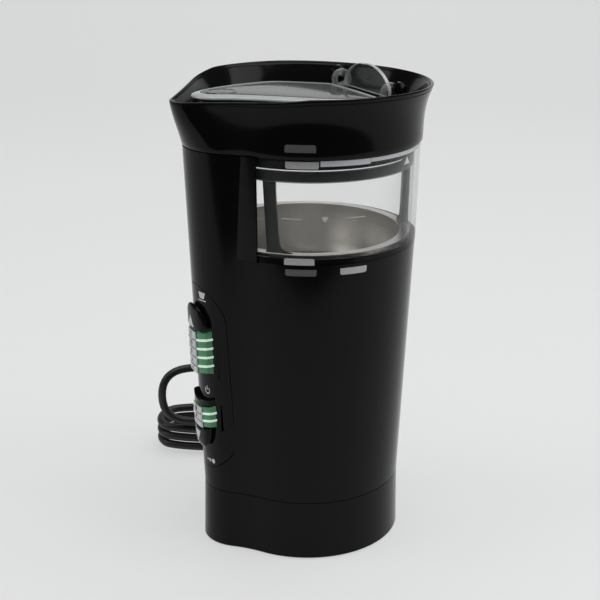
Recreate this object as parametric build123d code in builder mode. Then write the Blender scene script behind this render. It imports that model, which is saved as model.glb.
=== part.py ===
"""Electric coffee grinder with a lift-off bowl, a pouring lid and a front control lobe.

The origin is on the motor axis at the resting plane. +Z is up and -Y is the front,
where the controls and the pouring spout are. All sizes are in millimetres.
"""

import os
from math import cos, pi, radians, sin, sqrt, tan

from build123d import *

os.makedirs("parts", exist_ok=True)

# Heights of the stacked parts, and of the seams between them
BASE_SEAM = 29.3
BODY_H = 117.3
BOWL_H = 46.7
LID_H = 26.7
BOWL_SEAM = BASE_SEAM + BODY_H
LID_SEAM = BOWL_SEAM + BOWL_H
RIM = LID_SEAM + LID_H
SEAM_GAP = 0.3

# Plan outline at the base seam: a round barrel, a front lobe and two hollow flanks
BARREL_R = 44.4
NOSE_R = 17.5
NOSE_OUT = 36.0
FLANK_R = 60.0
DRAFT = 0.0428
HOUSING_WALL = 2.8


def growth(z):
    """How far the drafted body stands outside its outline at the base seam."""
    return (z - BASE_SEAM) * DRAFT


def pocket_r(z):
    """Inner radius of the bowl pocket in the housing."""
    return BARREL_R + growth(z) - HOUSING_WALL


# Base tray
FOOT_STAND = 0.8
FOOT_R = 6.0
FOOT_H = 2.6
TRAY_WALL = 2.4
TRAY_FLOOR = 2.8
TRAY_SPREAD = 0.6
LIP_CLEAR = 0.2
LIP_WALL = 2.0
LIP_BOTTOM = 24.0
LIP_TOP = 32.0
PILLAR_CIRCLE_R = 33.5
PILLAR_R = 4.0
PILLAR_BOTTOM = 6.0
PILLAR_TOP = 40.0
SCREW_R = 1.4
SCREW_HEAD_R = 3.0
SCREW_CLEAR = 0.1
SCREW_HEAD_H = 2.0
SCREW_TOP = 18.0
PILLAR_RIB = 3.0
VENTS = 5
VENT_STEP = 7.0
VENT_L = 24.0
VENT_W = 2.4

# Bowl pocket and bayonet
POCKET_DEPTH = 51.6
DECK_Z = BOWL_SEAM - POCKET_DEPTH
DECK_H = 3.0
DECK_SHELF = 3.5
SHELF_R = 41.0
SEAT_RING_R = 39.0
DECK_HOLE_CLEAR = 2.0
SLEEVE_WALL = 1.4
SKIRT_CLEAR = 0.42
SKIRT_TAPER = 5.2
SKIRT_WALL = 2.5
SKIRT_RAISE = 5.0
SKIRT_R_TOP = pocket_r(BOWL_SEAM) - SKIRT_CLEAR
SKIRT_R_BOTTOM = SKIRT_R_TOP - SKIRT_TAPER
SKIRT_BOTTOM = DECK_Z + SKIRT_RAISE
LUG_RAISE = 2.3
LUG_CLEAR = 0.72
LUG_H = 3.4
LUG_SPAN = 28.0
LUG_LAP = 1.6
LUG_Z = SKIRT_BOTTOM + LUG_RAISE
LUG_R = pocket_r(LUG_Z) - LUG_CLEAR
LEDGE_R = LUG_R - LUG_LAP
LEDGE_Z = LUG_Z + LUG_H + SEAM_GAP
LEDGE_H = 3.0
LEDGE_SPAN = 25.0
LUG_ANGLES = (30.0, 150.0, 270.0)

# Bowl
BOWL_PROUD = 0.18
BOWL_FLARE = 1.0
BOWL_WALL = 2.2
BOWL_R_BOTTOM = BARREL_R + growth(BOWL_SEAM) + BOWL_PROUD
BOWL_R_TOP = BOWL_R_BOTTOM + BOWL_FLARE
BOWL_TOP_GAP = 0.4
BOWL_TOP = LID_SEAM - BOWL_TOP_GAP
RING_H = 2.9
RING_TOP = BOWL_SEAM + RING_H
CUP_CLEAR = 0.9
CUP_SHEET = 0.8
CUP_DEPTH = 37.5
CUP_NECK_CLEAR = 0.7
CUP_WAIST_IN = 1.4
CUP_WAIST_RAISE = 20.0
CUP_BEND_IN = 7.0
CUP_BEND_RAISE = 5.9
CUP_FLOOR_IN = 17.0
CUP_R = BOWL_R_BOTTOM - BOWL_WALL - CUP_CLEAR
CUP_BOTTOM = RING_TOP - CUP_DEPTH
CUP_NECK_R = SKIRT_R_TOP - SKIRT_WALL - CUP_NECK_CLEAR
CUP_WAIST_R = CUP_NECK_R - CUP_WAIST_IN
CUP_WAIST_Z = CUP_BOTTOM + CUP_WAIST_RAISE
CUP_BEND_R = CUP_NECK_R - CUP_BEND_IN
CUP_BEND_Z = CUP_BOTTOM + CUP_BEND_RAISE
CUP_FLOOR_R = CUP_NECK_R - CUP_FLOOR_IN
SEAL_T = 0.8
HUB_R = 17.5
HUB_WALL = 2.5
HUB_ROOF = 2.7
HUB_TOP = CUP_BOTTOM - SEAL_T
BUSH_R = 6.0
BUSH_DROP = 4.0
BUSH_RISE = 6.0
BUSH_BOTTOM = HUB_TOP - BUSH_DROP
BUSH_TOP = CUP_BOTTOM + BUSH_RISE
BUSH_FLANGE_R = 9.0
SPINDLE_R = 3.0
RUN_CLEAR = 0.05

# Column that rises from the housing beside the bowl
COLUMN_HALF = 36.0
COLUMN_CLEAR = 0.35
COLUMN_EDGE = 1.1

# Blade and couplings
BLADE_LIFT = 3.0
BLADE_Z = BUSH_TOP + BLADE_LIFT
BLADE_T = 1.6
BLADE_HALF = 31.0
BLADE_W = 11.0
BLADE_TIP = 9.0
BLADE_RISE = 4.5
NUT_H = 5.0
NUT_ACROSS = 10.0
COUPLING_R = 11.0
DRIVE_DROP = 4.5
DRIVE_H = 6.0
DRIVEN_H = 5.2
DOG_H = 4.0
DOG_GAP = 0.7
DRIVE_Z = DECK_Z - DRIVE_DROP
DRIVEN_Z = DRIVE_Z + DRIVE_H + DOG_H + DOG_GAP
DOG_SPAN = 34.0
DOG_INNER_R = 5.5

# Motor
SHAFT_R = 3.0
SHAFT_TIP = 2.0
STATOR_H = 28.0
STATOR_R = 29.5
STATOR_FLAT = 25.0
BORE_R = 17.6
ARMATURE_R = 17.0
COIL_OUT = 5.5
COIL_CLEAR = 0.8
COIL_SPAN = 110.0
COIL_INNER_R = 18.5
COIL_OUTER_R = 27.0
WINDING_R = 14.0
LOWER_BRACKET_R = 28.8
UPPER_BRACKET_R = 37.5
BRACKET_T = 3.0
BEARING_R = 8.0
BEARING_H = 6.0
BOLT_R = 2.0
BOLT_CIRCLE_R = 25.8
BOLT_HEAD_R = 2.9
BOLT_HEAD_H = 2.5
COMMUTATOR_R = 8.5
COMMUTATOR_DROP = 17.5
COMMUTATOR_H = 9.0
BRUSH_W = 6.0
BRUSH_T = 5.0
BRUSH_L = 9.0
BRUSH_SPRING_L = 7.0
HOLDER_WALL = 1.5
FAN_R = 24.0
FAN_DROP = 12.0
FAN_H = 8.0
FAN_BLADES = 12
FAN_SHEET = 1.2
DAMPER_R = 5.0
DAMPER_CIRCLE_R = 32.0
DAMPER_H = 7.7
BRACKET_DROP = 9.5
UPPER_BRACKET_Z = DECK_Z - DAMPER_H - BRACKET_T
STATOR_Z = UPPER_BRACKET_Z - COIL_CLEAR - COIL_OUT - STATOR_H
COMMUTATOR_Z = STATOR_Z - COMMUTATOR_DROP
LOWER_BRACKET_Z = COMMUTATOR_Z - BRACKET_DROP
FAN_Z = LOWER_BRACKET_Z - FAN_DROP
SHAFT_BOTTOM = FAN_Z - SHAFT_TIP

# Controls on the lobe
PANEL_W = 32.0
PANEL_RAISE = 10.1
PANEL_L = 91.6
PANEL_BOTTOM = BASE_SEAM + PANEL_RAISE
PANEL_TOP = PANEL_BOTTOM + PANEL_L
PANEL_T = 1.3
PANEL_GAP = 0.3
WINDOW_GAP = 0.3
STRIP_W = 24.0
FACE_W = 13.4
CUPS_RAISE = 48.1
CUPS_L = 21.1
GRIND_RAISE = 21.8
GRIND_L = 12.6
CUPS_STRIP_Z = (PANEL_BOTTOM + CUPS_RAISE, PANEL_BOTTOM + CUPS_RAISE + CUPS_L)
GRIND_STRIP_Z = (PANEL_BOTTOM + GRIND_RAISE, PANEL_BOTTOM + GRIND_RAISE + GRIND_L)
CUPS_STEPS = 5
GRIND_STEPS = 3
STRIP_OUT = 3.0
RIDGE_OUT = 3.7
RIDGE_H = 1.2
FACE_OUT = 3.3
FACE_BED = 1.6
BUTTON_OUT = 2.8
BUTTON_IN = 1.8
NECK_W = 16.0
BUTTON_GAP = 0.35
BUTTON_FLANGE = 1.2
CUPS_BUTTON_R = 11.7
GRIND_BUTTON_R = 9.6
BOARD_BACK = 8.6
BOARD_T = 1.6
BOARD_W = 24.0
BOARD_RAISE = 6.6
BOARD_L = 76.0
BOARD_Z = (PANEL_BOTTOM + BOARD_RAISE, PANEL_BOTTOM + BOARD_RAISE + BOARD_L)
SWITCH_SIZE = 6.0
SWITCH_H = 1.8
PLUNGER_H = 0.8
SWITCH_SHARE = 0.42

# Lid interlock in the column
ROD_X = 6.0
ROD_Y = 2.4
ROD_R = 1.2
ROD_BEHIND = 2.9
ROD_GAP = 11.9
ROD_SHELF_RAISE = 1.9
ROD_SHELF_T = 2.0
SPRING_H = 9.5
ROD_CENTRE_Y = -BOWL_R_TOP - ROD_BEHIND
ROD_BOTTOM = BOARD_Z[1] + ROD_GAP
ROD_SHELF_Z = BOWL_SEAM + ROD_SHELF_RAISE
ROD_SHOULDER_Z = ROD_SHELF_Z + ROD_SHELF_T + SPRING_H
ROD_SHELF_W = 14.0
ROD_SHELF_D = 6.4
SPRING_CLEAR = 0.3
SPRING_WIRE = 0.5
ROD_PLUNGER_H = 4.0
ROD_SWITCH_W = 10.0
ROD_SWITCH_D = 6.0
ROD_SWITCH_SHIFT = 2.8

# Wiper
WIPER_CLEAR = 0.7
WIPER_WALL = 3.4
WIPER_DROP = 10.5
WIPER_H = 4.8
ARM_W = 5.5
ARM_RAISE = 0.6
ARM_CLEAR = 0.4
ARM_FOOT = 4.0
ARM_FOOT_H = 2.5
WIPER_R = BOWL_R_TOP - BOWL_WALL - WIPER_CLEAR
WIPER_Z = LID_SEAM - WIPER_DROP
ARM_BOTTOM = RING_TOP + CUP_SHEET + ARM_RAISE
ARM_OUTER_R = BOWL_R_BOTTOM - BOWL_WALL - ARM_CLEAR
ARM_T = 3.4
WIPER_ANGLES = (67.0, 187.0, 307.0)

# Lid
LID_WALL = 2.2
LID_PROUD = 0.1
BRIM_FLARE = 4.8
BEAK_R = 8.5
BEAK_REACH = 26.2
BEAK_FLANK_R = 300.0
lid_out = growth(LID_SEAM) + LID_PROUD
LID_FOOT = (BARREL_R + lid_out, NOSE_R + lid_out, NOSE_OUT, FLANK_R - lid_out)
LID_BRIM = (LID_FOOT[0] + BRIM_FLARE, BEAK_R, NOSE_OUT + BEAK_REACH, BEAK_FLANK_R)
# The flare's curve: how far out it is, by how far up the lid
LID_CURVE = (
    (0, 0),
    (0.15, 0.01),
    (0.31, 0.04),
    (0.47, 0.13),
    (0.64, 0.29),
    (0.78, 0.53),
    (0.9, 0.79),
    (1, 1),
)
LID_FLARE = [(LID_SEAM + up * LID_H, out) for up, out in LID_CURVE]
BEAK_CUT_START = 40.0
BEAK_SLOPE = 6.0
LID_SKIRT_CLEAR = 0.9
LID_SKIRT_DROP = 5.3
LID_DECK_DROP = 17.0
LID_DECK_T = 2.0
LIP_DROP = 0.8
COLLAR_DROP = 5.8
COLLAR_WALL = 1.6
LID_SKIRT_R = BOWL_R_TOP - BOWL_WALL - LID_SKIRT_CLEAR
LID_SKIRT_BOTTOM = LID_SEAM - LID_SKIRT_DROP
LID_DECK_Z = RIM - LID_DECK_DROP
COLLAR_TOP = RIM - COLLAR_DROP
MOUTH_BACK_W = 47.0
MOUTH_BELLY_R = 27.0
MOUTH_BELLY_Y = -2.0
MOUTH_BACK_Y = 24.0
MOUTH_NOSE_R = 8.0
MOUTH_NOSE_Y = -46.5

# Pouring cover
COVER_GAP = 0.3
COVER_EDGE = 1.4
COVER_RISE = 2.4
COVER_LAP = 2.4
COVER_SLOPE = 5.0
HINGE_BEHIND = 6.0
HINGE_DROP = 4.0
HINGE_Y = MOUTH_BACK_Y + HINGE_BEHIND
HINGE_Z = RIM - HINGE_DROP
EYE_R = 3.5
EYE_X = 24.4
EYE_W = 3.0
PIN_R = 1.5
EYE_CLEAR = 0.06
BRACKET_GAP = 0.4
BRACKET_W = 2.4
TAB_W = 42.0
TAB_RISE = 6.0
TAB_TOP = RIM + TAB_RISE
TAB_T = 1.6

# Cord
CORD_D = 4.4
CORD_EXIT_Z = 18.0
CORD_EXIT_ANGLE = 152.0
RELIEF_L = 24.0
RELIEF_PROUD = 0.8
RELIEF_DEPTH = 4.6
RELIEF_START = BARREL_R + RELIEF_PROUD
RELIEF_INSIDE = BARREL_R - RELIEF_DEPTH
RELIEF_FLANGE_R = 5.6
RELIEF_FLANGE_T = 1.8
RELIEF_ROOT_R = 4.4
RELIEF_TIP_R = 2.9
HANK_CENTRE = (-92.5, -3.5)
HANK_TURN = 62.4
HANK_A = 35.6
HANK_B = 13.4
HANK_R = 13.1
HANK_PITCH = 5.0
HANK_LOOPS = 3
HANK_Z = 3.5
HANK_TAIL = 4.0
CORD_JOIN_U = -8.0
LOOP_RUN = 26.0
TIE_W = 9.0
TIE_T = 1.0
TIE_LIFT = 0.2
PLUG_BOOT = 8.0
PLUG_L = 20.0
PLUG_W = 19.0
PLUG_H = 11.4
BOOT_WALL = 0.6
PLUG_BLADE_L = 16.0
PLUG_BLADE_T = 1.5
PLUG_BLADE_W = 6.3
BLADE_PITCH = 12.7

UP = (Align.CENTER, Align.CENTER, Align.MIN)
OUT = (Align.MIN, Align.CENTER, Align.MIN)
FRONT_DEPTH = 6.7
FRONT = Plane((0, FRONT_DEPTH - NOSE_OUT - NOSE_R, 0), x_dir=(1, 0, 0), z_dir=(0, -1, 0))
FRONT_L = 27.0


def plan_line(barrel, nose, nose_out, flank):
    """Closed plan outline: barrel arc, two hollow flanks and the nose arc."""
    reach = barrel + flank
    flank_y = -(nose_out**2 + reach**2 - (nose + flank) ** 2) / (2 * nose_out)
    flank_x = sqrt(reach**2 - flank_y**2)
    hub = Vector(0, -nose_out)
    starts = []
    ends = []
    for side in (1, -1):
        centre = Vector(side * flank_x, flank_y)
        to_barrel = (Vector(0, 0) - centre).normalized()
        to_nose = (hub - centre).normalized()
        middle = (to_barrel + to_nose).normalized()
        starts.append(centre + to_barrel * flank)
        ends.append(centre + to_nose * flank)
        ThreePointArc(starts[-1], centre + middle * flank, ends[-1])
    ThreePointArc(starts[0], (0, barrel), starts[1])
    ThreePointArc(ends[0], hub - Vector(0, nose), ends[1])


def plan_loft(levels, mode=Mode.ADD):
    """Solid through plan outlines, each level a height and the four sizes of its outline."""
    sections = []
    for z, sizes in levels:
        with BuildSketch(Plane.XY.offset(z)) as outline:
            with BuildLine():
                plan_line(*sizes)
            make_face()
        sections.append(outline.sketch)
    loft(sections, ruled=True, mode=mode)


def body_loft(low, high, out_low, out_high, mode=Mode.ADD):
    """Solid between two outlines that stand outside the body's by given distances."""
    levels = []
    for z, out in ((low, out_low), (high, out_high)):
        levels.append((z, (BARREL_R + out, NOSE_R + out, NOSE_OUT, FLANK_R - out)))
    plan_loft(levels, mode)


def body_prism(low, high, out, mode=Mode.ADD):
    """Upright solid with one outline that stands outside the body's by a distance."""
    with BuildSketch(Plane.XY.offset(low)) as outline:
        with BuildLine():
            plan_line(BARREL_R + out, NOSE_R + out, NOSE_OUT, FLANK_R - out)
        make_face()
    extrude(outline.sketch, amount=high - low, mode=mode)


def drafted(low, high, out, mode=Mode.ADD):
    """Solid that follows the drafted body at a distance outside it."""
    body_loft(low, high, growth(low) + out, growth(high) + out, mode)


def cone(r_low, z_low, r_high, z_high, mode=Mode.ADD):
    """Solid round the motor axis with a straight side."""
    with BuildSketch(Plane.XZ) as half:
        with BuildLine():
            Polyline((0, z_low), (r_low, z_low), (r_high, z_high), (0, z_high), close=True)
        make_face()
    revolve(half.sketch, axis=Axis.Z, mode=mode)


def post(radius, low, high, mode=Mode.ADD):
    """Upright cylinder between two heights, at each active place."""
    with Locations((0, 0, low)):
        Cylinder(radius, high - low, align=UP, mode=mode)


def tube(outer, inner, low, high):
    """Ring with an upright wall."""
    post(outer, low, high)
    post(inner, low, high, Mode.SUBTRACT)


def sector(inner, outer, start, span, low, high, mode=Mode.ADD):
    """Part of a ring round the motor axis, its angles in degrees from +X."""
    turns = [radians(start + span * share) for share in (0, 0.5, 1)]
    far = [(outer * cos(turn), outer * sin(turn)) for turn in turns]
    near = [(inner * cos(turn), inner * sin(turn)) for turn in turns]
    with BuildSketch(Plane.XY.offset(low)) as part_ring:
        with BuildLine():
            ThreePointArc(*far)
            Line(far[2], near[2])
            ThreePointArc(*near)
            Line(near[0], far[0])
        make_face()
    extrude(part_ring.sketch, amount=high - low, mode=mode)


def bowl_r(z):
    """Outer radius of the clear bowl wall."""
    share = (z - BOWL_SEAM) / (LID_SEAM - BOWL_SEAM)
    return BOWL_R_BOTTOM + share * (BOWL_R_TOP - BOWL_R_BOTTOM)


def skirt_r(z):
    """Outer radius of the skirt that nests in the housing."""
    share = (z - SKIRT_BOTTOM) / (BOWL_SEAM - SKIRT_BOTTOM)
    return SKIRT_R_BOTTOM + share * (SKIRT_R_TOP - SKIRT_R_BOTTOM)


def lobe_plate(low, high, out_low, out_high, outline):
    """Curved plate on the lobe between two distances, cut to an outline drawn from the front."""
    with BuildPart() as plate:
        drafted(low, high, out_high)
        drafted(low, high, out_low, Mode.SUBTRACT)
        with BuildSketch(FRONT):
            outline()
        extrude(amount=FRONT_L, mode=Mode.INTERSECT)
    return plate.part


def strip_outline(span, width, gap=0.0):
    """Front outline of a scale strip."""
    with Locations((0, (span[0] + span[1]) / 2)):
        Rectangle(width + 2 * gap, span[1] - span[0] + 2 * gap)


def button_outline(edge, side, radius, width):
    """Front outline of a half-round button, its straight side along an edge, no wider than given."""
    below = Align.MAX if side > 0 else Align.MIN
    with Locations((0, edge + side * BUTTON_GAP)):
        Circle(radius)
        Rectangle(width, 2 * radius, mode=Mode.INTERSECT)
        Rectangle(3 * radius, 3 * radius, align=(Align.CENTER, below), mode=Mode.SUBTRACT)


def window_outline(gap):
    """Both openings that the strips and buttons stand in."""
    strip_outline(CUPS_STRIP_Z, STRIP_W, gap)
    strip_outline(GRIND_STRIP_Z, STRIP_W, gap)
    with Locations((0, CUPS_STRIP_Z[1] + BUTTON_GAP)):
        Circle(CUPS_BUTTON_R + gap)
    with Locations((0, GRIND_STRIP_Z[0] - BUTTON_GAP)):
        Circle(GRIND_BUTTON_R + gap)


def panel_outline(gap):
    """Long round-ended outline of the control panel."""
    with Locations((0, (PANEL_BOTTOM + PANEL_TOP) / 2)):
        SlotOverall(PANEL_TOP - PANEL_BOTTOM - 2 * gap, PANEL_W - 2 * gap, rotation=90)


def finish(builder, label):
    """Name a finished piece and write it."""
    builder.part.label = label
    export_step(builder.part, f"parts/{label}.step")


# Base tray with its floor, screw bosses, foot recesses, vents and the hole for the cord
tray_top = BASE_SEAM - SEAM_GAP
screw_seat = FOOT_STAND + SCREW_HEAD_H + SCREW_CLEAR
exit_dir = Vector(cos(radians(CORD_EXIT_ANGLE)), sin(radians(CORD_EXIT_ANGLE)))
exit_side = Vector(sin(radians(CORD_EXIT_ANGLE)), -cos(radians(CORD_EXIT_ANGLE)))
exit_centre = Vector(0, 0, CORD_EXIT_Z)
with BuildPart() as base_tray:
    body_loft(FOOT_STAND, tray_top, TRAY_SPREAD, 0)
    body_loft(FOOT_STAND + TRAY_FLOOR, tray_top, TRAY_SPREAD - TRAY_WALL, -TRAY_WALL, Mode.SUBTRACT)
    with PolarLocations(PILLAR_CIRCLE_R, 4, start_angle=45):
        post(PILLAR_R + 1, FOOT_STAND, PILLAR_BOTTOM)
        post(SCREW_R + SCREW_CLEAR, FOOT_STAND, PILLAR_BOTTOM, Mode.SUBTRACT)
        post(SCREW_HEAD_R + SCREW_CLEAR, FOOT_STAND, screw_seat, Mode.SUBTRACT)
    with PolarLocations(PILLAR_CIRCLE_R, 4):
        post(FOOT_R + SCREW_CLEAR, FOOT_STAND, FOOT_H, Mode.SUBTRACT)
    with BuildSketch(Plane.XY.offset(FOOT_STAND)):
        with GridLocations(VENT_STEP, 0, VENTS, 1):
            SlotOverall(VENT_L, VENT_W, rotation=90)
    extrude(amount=TRAY_FLOOR, mode=Mode.SUBTRACT)
    with BuildSketch(Plane(exit_centre, x_dir=(0, 0, 1), z_dir=exit_dir)):
        Circle(RELIEF_ROOT_R + RUN_CLEAR)
    extrude(amount=2 * BARREL_R, mode=Mode.SUBTRACT)
finish(base_tray, "base_tray")

with BuildPart() as rubber_feet:
    with PolarLocations(PILLAR_CIRCLE_R, 4):
        post(FOOT_R, 0, FOOT_H)
finish(rubber_feet, "rubber_feet")

with BuildPart() as base_screws:
    with PolarLocations(PILLAR_CIRCLE_R, 4, start_angle=45):
        post(SCREW_HEAD_R, screw_seat - SCREW_HEAD_H, screw_seat)
        post(SCREW_R, screw_seat, SCREW_TOP)
finish(base_screws, "base_screws")

# Hollow of the lobe, from the deck shelf up into the column
column_top = LID_SEAM - SEAM_GAP
shelf_bottom = DECK_Z - DECK_SHELF
sleeve_low = pocket_r(shelf_bottom) + SLEEVE_WALL
sleeve_high = pocket_r(BOWL_SEAM) + SLEEVE_WALL
column_low = bowl_r(BOWL_SEAM) + COLUMN_CLEAR + COLUMN_EDGE
column_high = bowl_r(column_top) + COLUMN_CLEAR + COLUMN_EDGE
with BuildPart() as lobe_hollow:
    drafted(shelf_bottom, column_top - HOUSING_WALL, -HOUSING_WALL)
    cone(sleeve_low, shelf_bottom, sleeve_high, BOWL_SEAM, Mode.SUBTRACT)
    cone(column_low, BOWL_SEAM, column_high, column_top, Mode.SUBTRACT)

panel_recess = lobe_plate(PANEL_BOTTOM - 1, PANEL_TOP + 1, -PANEL_T, STRIP_OUT, lambda: panel_outline(0))

# Housing: drafted shell, bowl pocket with bayonet ledges, and the column beside the bowl
column_start = radians(270 - COLUMN_HALF)
column_side = Plane(
    (0, 0, 0),
    x_dir=(cos(column_start), sin(column_start), 0),
    z_dir=(sin(column_start), -cos(column_start), 0),
)
with BuildPart() as housing:
    drafted(BASE_SEAM, column_top, 0)
    open_span = 360 - 2 * COLUMN_HALF
    sector(BARREL_R / 2, 2 * BARREL_R, 270 + COLUMN_HALF, open_span, BOWL_SEAM, column_top, Mode.SUBTRACT)
    with BuildSketch(column_side):
        with BuildLine():
            Polyline(
                (BARREL_R, BOWL_SEAM - COLUMN_EDGE),
                (sleeve_high, BOWL_SEAM - COLUMN_EDGE),
                (column_low, BOWL_SEAM),
                (column_high, column_top),
                (BARREL_R, column_top),
                close=True,
            )
        make_face()
    revolve(axis=Axis.Z, revolution_arc=2 * COLUMN_HALF)
    cone(column_low - COLUMN_EDGE, BOWL_SEAM, column_high - COLUMN_EDGE, column_top, Mode.SUBTRACT)
    drafted(BASE_SEAM, shelf_bottom, -HOUSING_WALL, Mode.SUBTRACT)
    post(SHELF_R, shelf_bottom, DECK_Z, Mode.SUBTRACT)
    cone(pocket_r(DECK_Z), DECK_Z, pocket_r(BOWL_SEAM), BOWL_SEAM, Mode.SUBTRACT)
    add(lobe_hollow.part, mode=Mode.SUBTRACT)
    for angle in LUG_ANGLES:
        ledge_out = pocket_r(LEDGE_Z) + SLEEVE_WALL / 2
        sector(LEDGE_R, ledge_out, angle - LUG_SPAN / 2, LEDGE_SPAN, LEDGE_Z, LEDGE_Z + LEDGE_H)
    body_prism(LIP_BOTTOM, LIP_TOP, -TRAY_WALL - LIP_CLEAR)
    body_prism(LIP_BOTTOM, LIP_TOP, -TRAY_WALL - LIP_CLEAR - LIP_WALL, Mode.SUBTRACT)
    with PolarLocations(PILLAR_CIRCLE_R, 4, start_angle=45):
        post(PILLAR_R, PILLAR_BOTTOM, PILLAR_TOP)
        rib_l = BARREL_R - PILLAR_CIRCLE_R - HOUSING_WALL / 2
        with Locations((0, 0, LIP_TOP - LIP_WALL)):
            Box(rib_l, PILLAR_RIB, PILLAR_TOP - LIP_TOP + LIP_WALL, align=OUT)
        post(SCREW_R + SCREW_CLEAR, PILLAR_BOTTOM, SCREW_TOP + 1, Mode.SUBTRACT)
    add(panel_recess, mode=Mode.SUBTRACT)
    with BuildSketch(FRONT):
        window_outline(WINDOW_GAP)
    extrude(amount=FRONT_L, mode=Mode.SUBTRACT)
    with Locations((0, ROD_CENTRE_Y, ROD_SHELF_Z)):
        Box(ROD_SHELF_W, ROD_SHELF_D, ROD_SHELF_T, align=UP)
        Cylinder(ROD_R + COLUMN_CLEAR, ROD_SHELF_T, align=UP, mode=Mode.SUBTRACT)
    with Locations((0, ROD_CENTRE_Y, column_top - 2 * HOUSING_WALL)):
        Box(ROD_X + COLUMN_CLEAR, ROD_Y + COLUMN_CLEAR, 3 * HOUSING_WALL, align=UP, mode=Mode.SUBTRACT)
finish(housing, "housing")

# Deck under the bowl, with the ring that the bowl's floor rests on
with BuildPart() as bowl_seat:
    post(pocket_r(DECK_Z) - LIP_CLEAR, DECK_Z, DECK_Z + DECK_H)
    tube(SEAT_RING_R, SEAT_RING_R - DECK_H, DECK_Z + DECK_H, SKIRT_BOTTOM - SEAM_GAP)
    post(COUPLING_R + DECK_HOLE_CLEAR, DECK_Z, DECK_Z + DECK_H, Mode.SUBTRACT)
    post(pocket_r(DECK_Z) / 3, DECK_Z + DECK_H, SKIRT_BOTTOM, Mode.SUBTRACT)
finish(bowl_seat, "bowl_seat")

# Control panel, scale strips with their numbered faces, and the two half-round buttons
panel_skin = lobe_plate(PANEL_BOTTOM - 1, PANEL_TOP + 1, -PANEL_T, 0, lambda: panel_outline(PANEL_GAP))
with BuildPart() as panel_frame:
    add(panel_skin)
    with BuildSketch(FRONT):
        window_outline(WINDOW_GAP)
    extrude(amount=FRONT_L, mode=Mode.SUBTRACT)
finish(panel_frame, "panel_frame")

strip_back = HOUSING_WALL + BUTTON_GAP
for name, span, steps in (("cups", CUPS_STRIP_Z, CUPS_STEPS), ("grind", GRIND_STRIP_Z, GRIND_STEPS)):
    step = (span[1] - span[0]) / steps
    face_bed = lambda: strip_outline(span, FACE_W, RUN_CLEAR)
    bed = lobe_plate(span[0], span[1], FACE_BED, RIDGE_OUT + 1, face_bed)
    with BuildPart() as lens:
        drafted(span[0], span[1], STRIP_OUT)
        for index in range(1, steps):
            ridge_z = span[0] + index * step
            drafted(ridge_z - RIDGE_H / 2, ridge_z + RIDGE_H / 2, RIDGE_OUT)
        drafted(span[0], span[1], -strip_back, Mode.SUBTRACT)
        with BuildSketch(FRONT):
            strip_outline(span, STRIP_W)
        extrude(amount=FRONT_L, mode=Mode.INTERSECT)
        add(bed, mode=Mode.SUBTRACT)
    finish(lens, f"{name}_strip")
    scale = lobe_plate(span[0], span[1], FACE_BED, FACE_OUT, lambda: strip_outline(span, FACE_W))
    with BuildPart() as face:
        add(scale)
    finish(face, f"{name}_face")

for name, edge, side, radius in (
    ("cups", CUPS_STRIP_Z[1], 1, CUPS_BUTTON_R),
    ("grind", GRIND_STRIP_Z[0], -1, GRIND_BUTTON_R),
):
    low, high = sorted((edge, edge + side * (radius + BUTTON_FLANGE + 1)))
    rim_r = radius + BUTTON_FLANGE
    cap = lobe_plate(
        low, high, -BUTTON_IN, BUTTON_OUT, lambda: button_outline(edge, side, radius, 2 * radius)
    )
    neck = lobe_plate(low, high, -strip_back, -BUTTON_IN, lambda: button_outline(edge, side, radius, NECK_W))
    flange = lobe_plate(
        low, high, -strip_back - BUTTON_FLANGE, -strip_back, lambda: button_outline(edge, side, rim_r, NECK_W)
    )
    with BuildPart() as button:
        add(cap)
        add(neck)
        add(flange)
    finish(button, f"{name}_button")

# Circuit board behind the panel, parallel to the lobe, with one switch behind each button
board_origin = (0, BOARD_BACK - NOSE_OUT - NOSE_R, BASE_SEAM)
board_front = Plane(board_origin, x_dir=(1, 0, 0), z_dir=(0, -1, -DRAFT))
cups_button_z = CUPS_STRIP_Z[1] + BUTTON_GAP + CUPS_BUTTON_R * SWITCH_SHARE
grind_button_z = GRIND_STRIP_Z[0] - BUTTON_GAP - GRIND_BUTTON_R * SWITCH_SHARE
with BuildPart() as control_board:
    with BuildSketch(board_front):
        with Locations((0, (BOARD_Z[0] + BOARD_Z[1]) / 2 - BASE_SEAM)):
            Rectangle(BOARD_W, BOARD_Z[1] - BOARD_Z[0])
    extrude(amount=-BOARD_T)
finish(control_board, "control_board")

with BuildPart() as tact_switches:
    with BuildSketch(board_front):
        with Locations((0, cups_button_z - BASE_SEAM), (0, grind_button_z - BASE_SEAM)):
            Rectangle(SWITCH_SIZE, SWITCH_SIZE)
    extrude(amount=SWITCH_H)
    with BuildSketch(board_front.offset(SWITCH_H)):
        with Locations((0, cups_button_z - BASE_SEAM), (0, grind_button_z - BASE_SEAM)):
            Circle(SWITCH_SIZE / 3)
    extrude(amount=PLUNGER_H)
finish(tact_switches, "tact_switches")

# Lid interlock: a rod in the column that the lid holds down on a switch
with BuildPart() as interlock_rod:
    with Locations((0, ROD_CENTRE_Y, ROD_BOTTOM)):
        Cylinder(ROD_R, ROD_SHOULDER_Z - ROD_BOTTOM, align=UP)
    with Locations((0, ROD_CENTRE_Y, ROD_SHOULDER_Z)):
        Box(ROD_X, ROD_Y, column_top - ROD_SHOULDER_Z, align=UP)
finish(interlock_rod, "interlock_rod")

with BuildPart() as interlock_spring:
    with Locations((0, ROD_CENTRE_Y, ROD_SHELF_Z + ROD_SHELF_T)):
        Cylinder(ROD_R + SPRING_CLEAR + SPRING_WIRE, SPRING_H, align=UP)
        Cylinder(ROD_R + SPRING_CLEAR, SPRING_H, align=UP, mode=Mode.SUBTRACT)
finish(interlock_spring, "interlock_spring")

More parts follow.
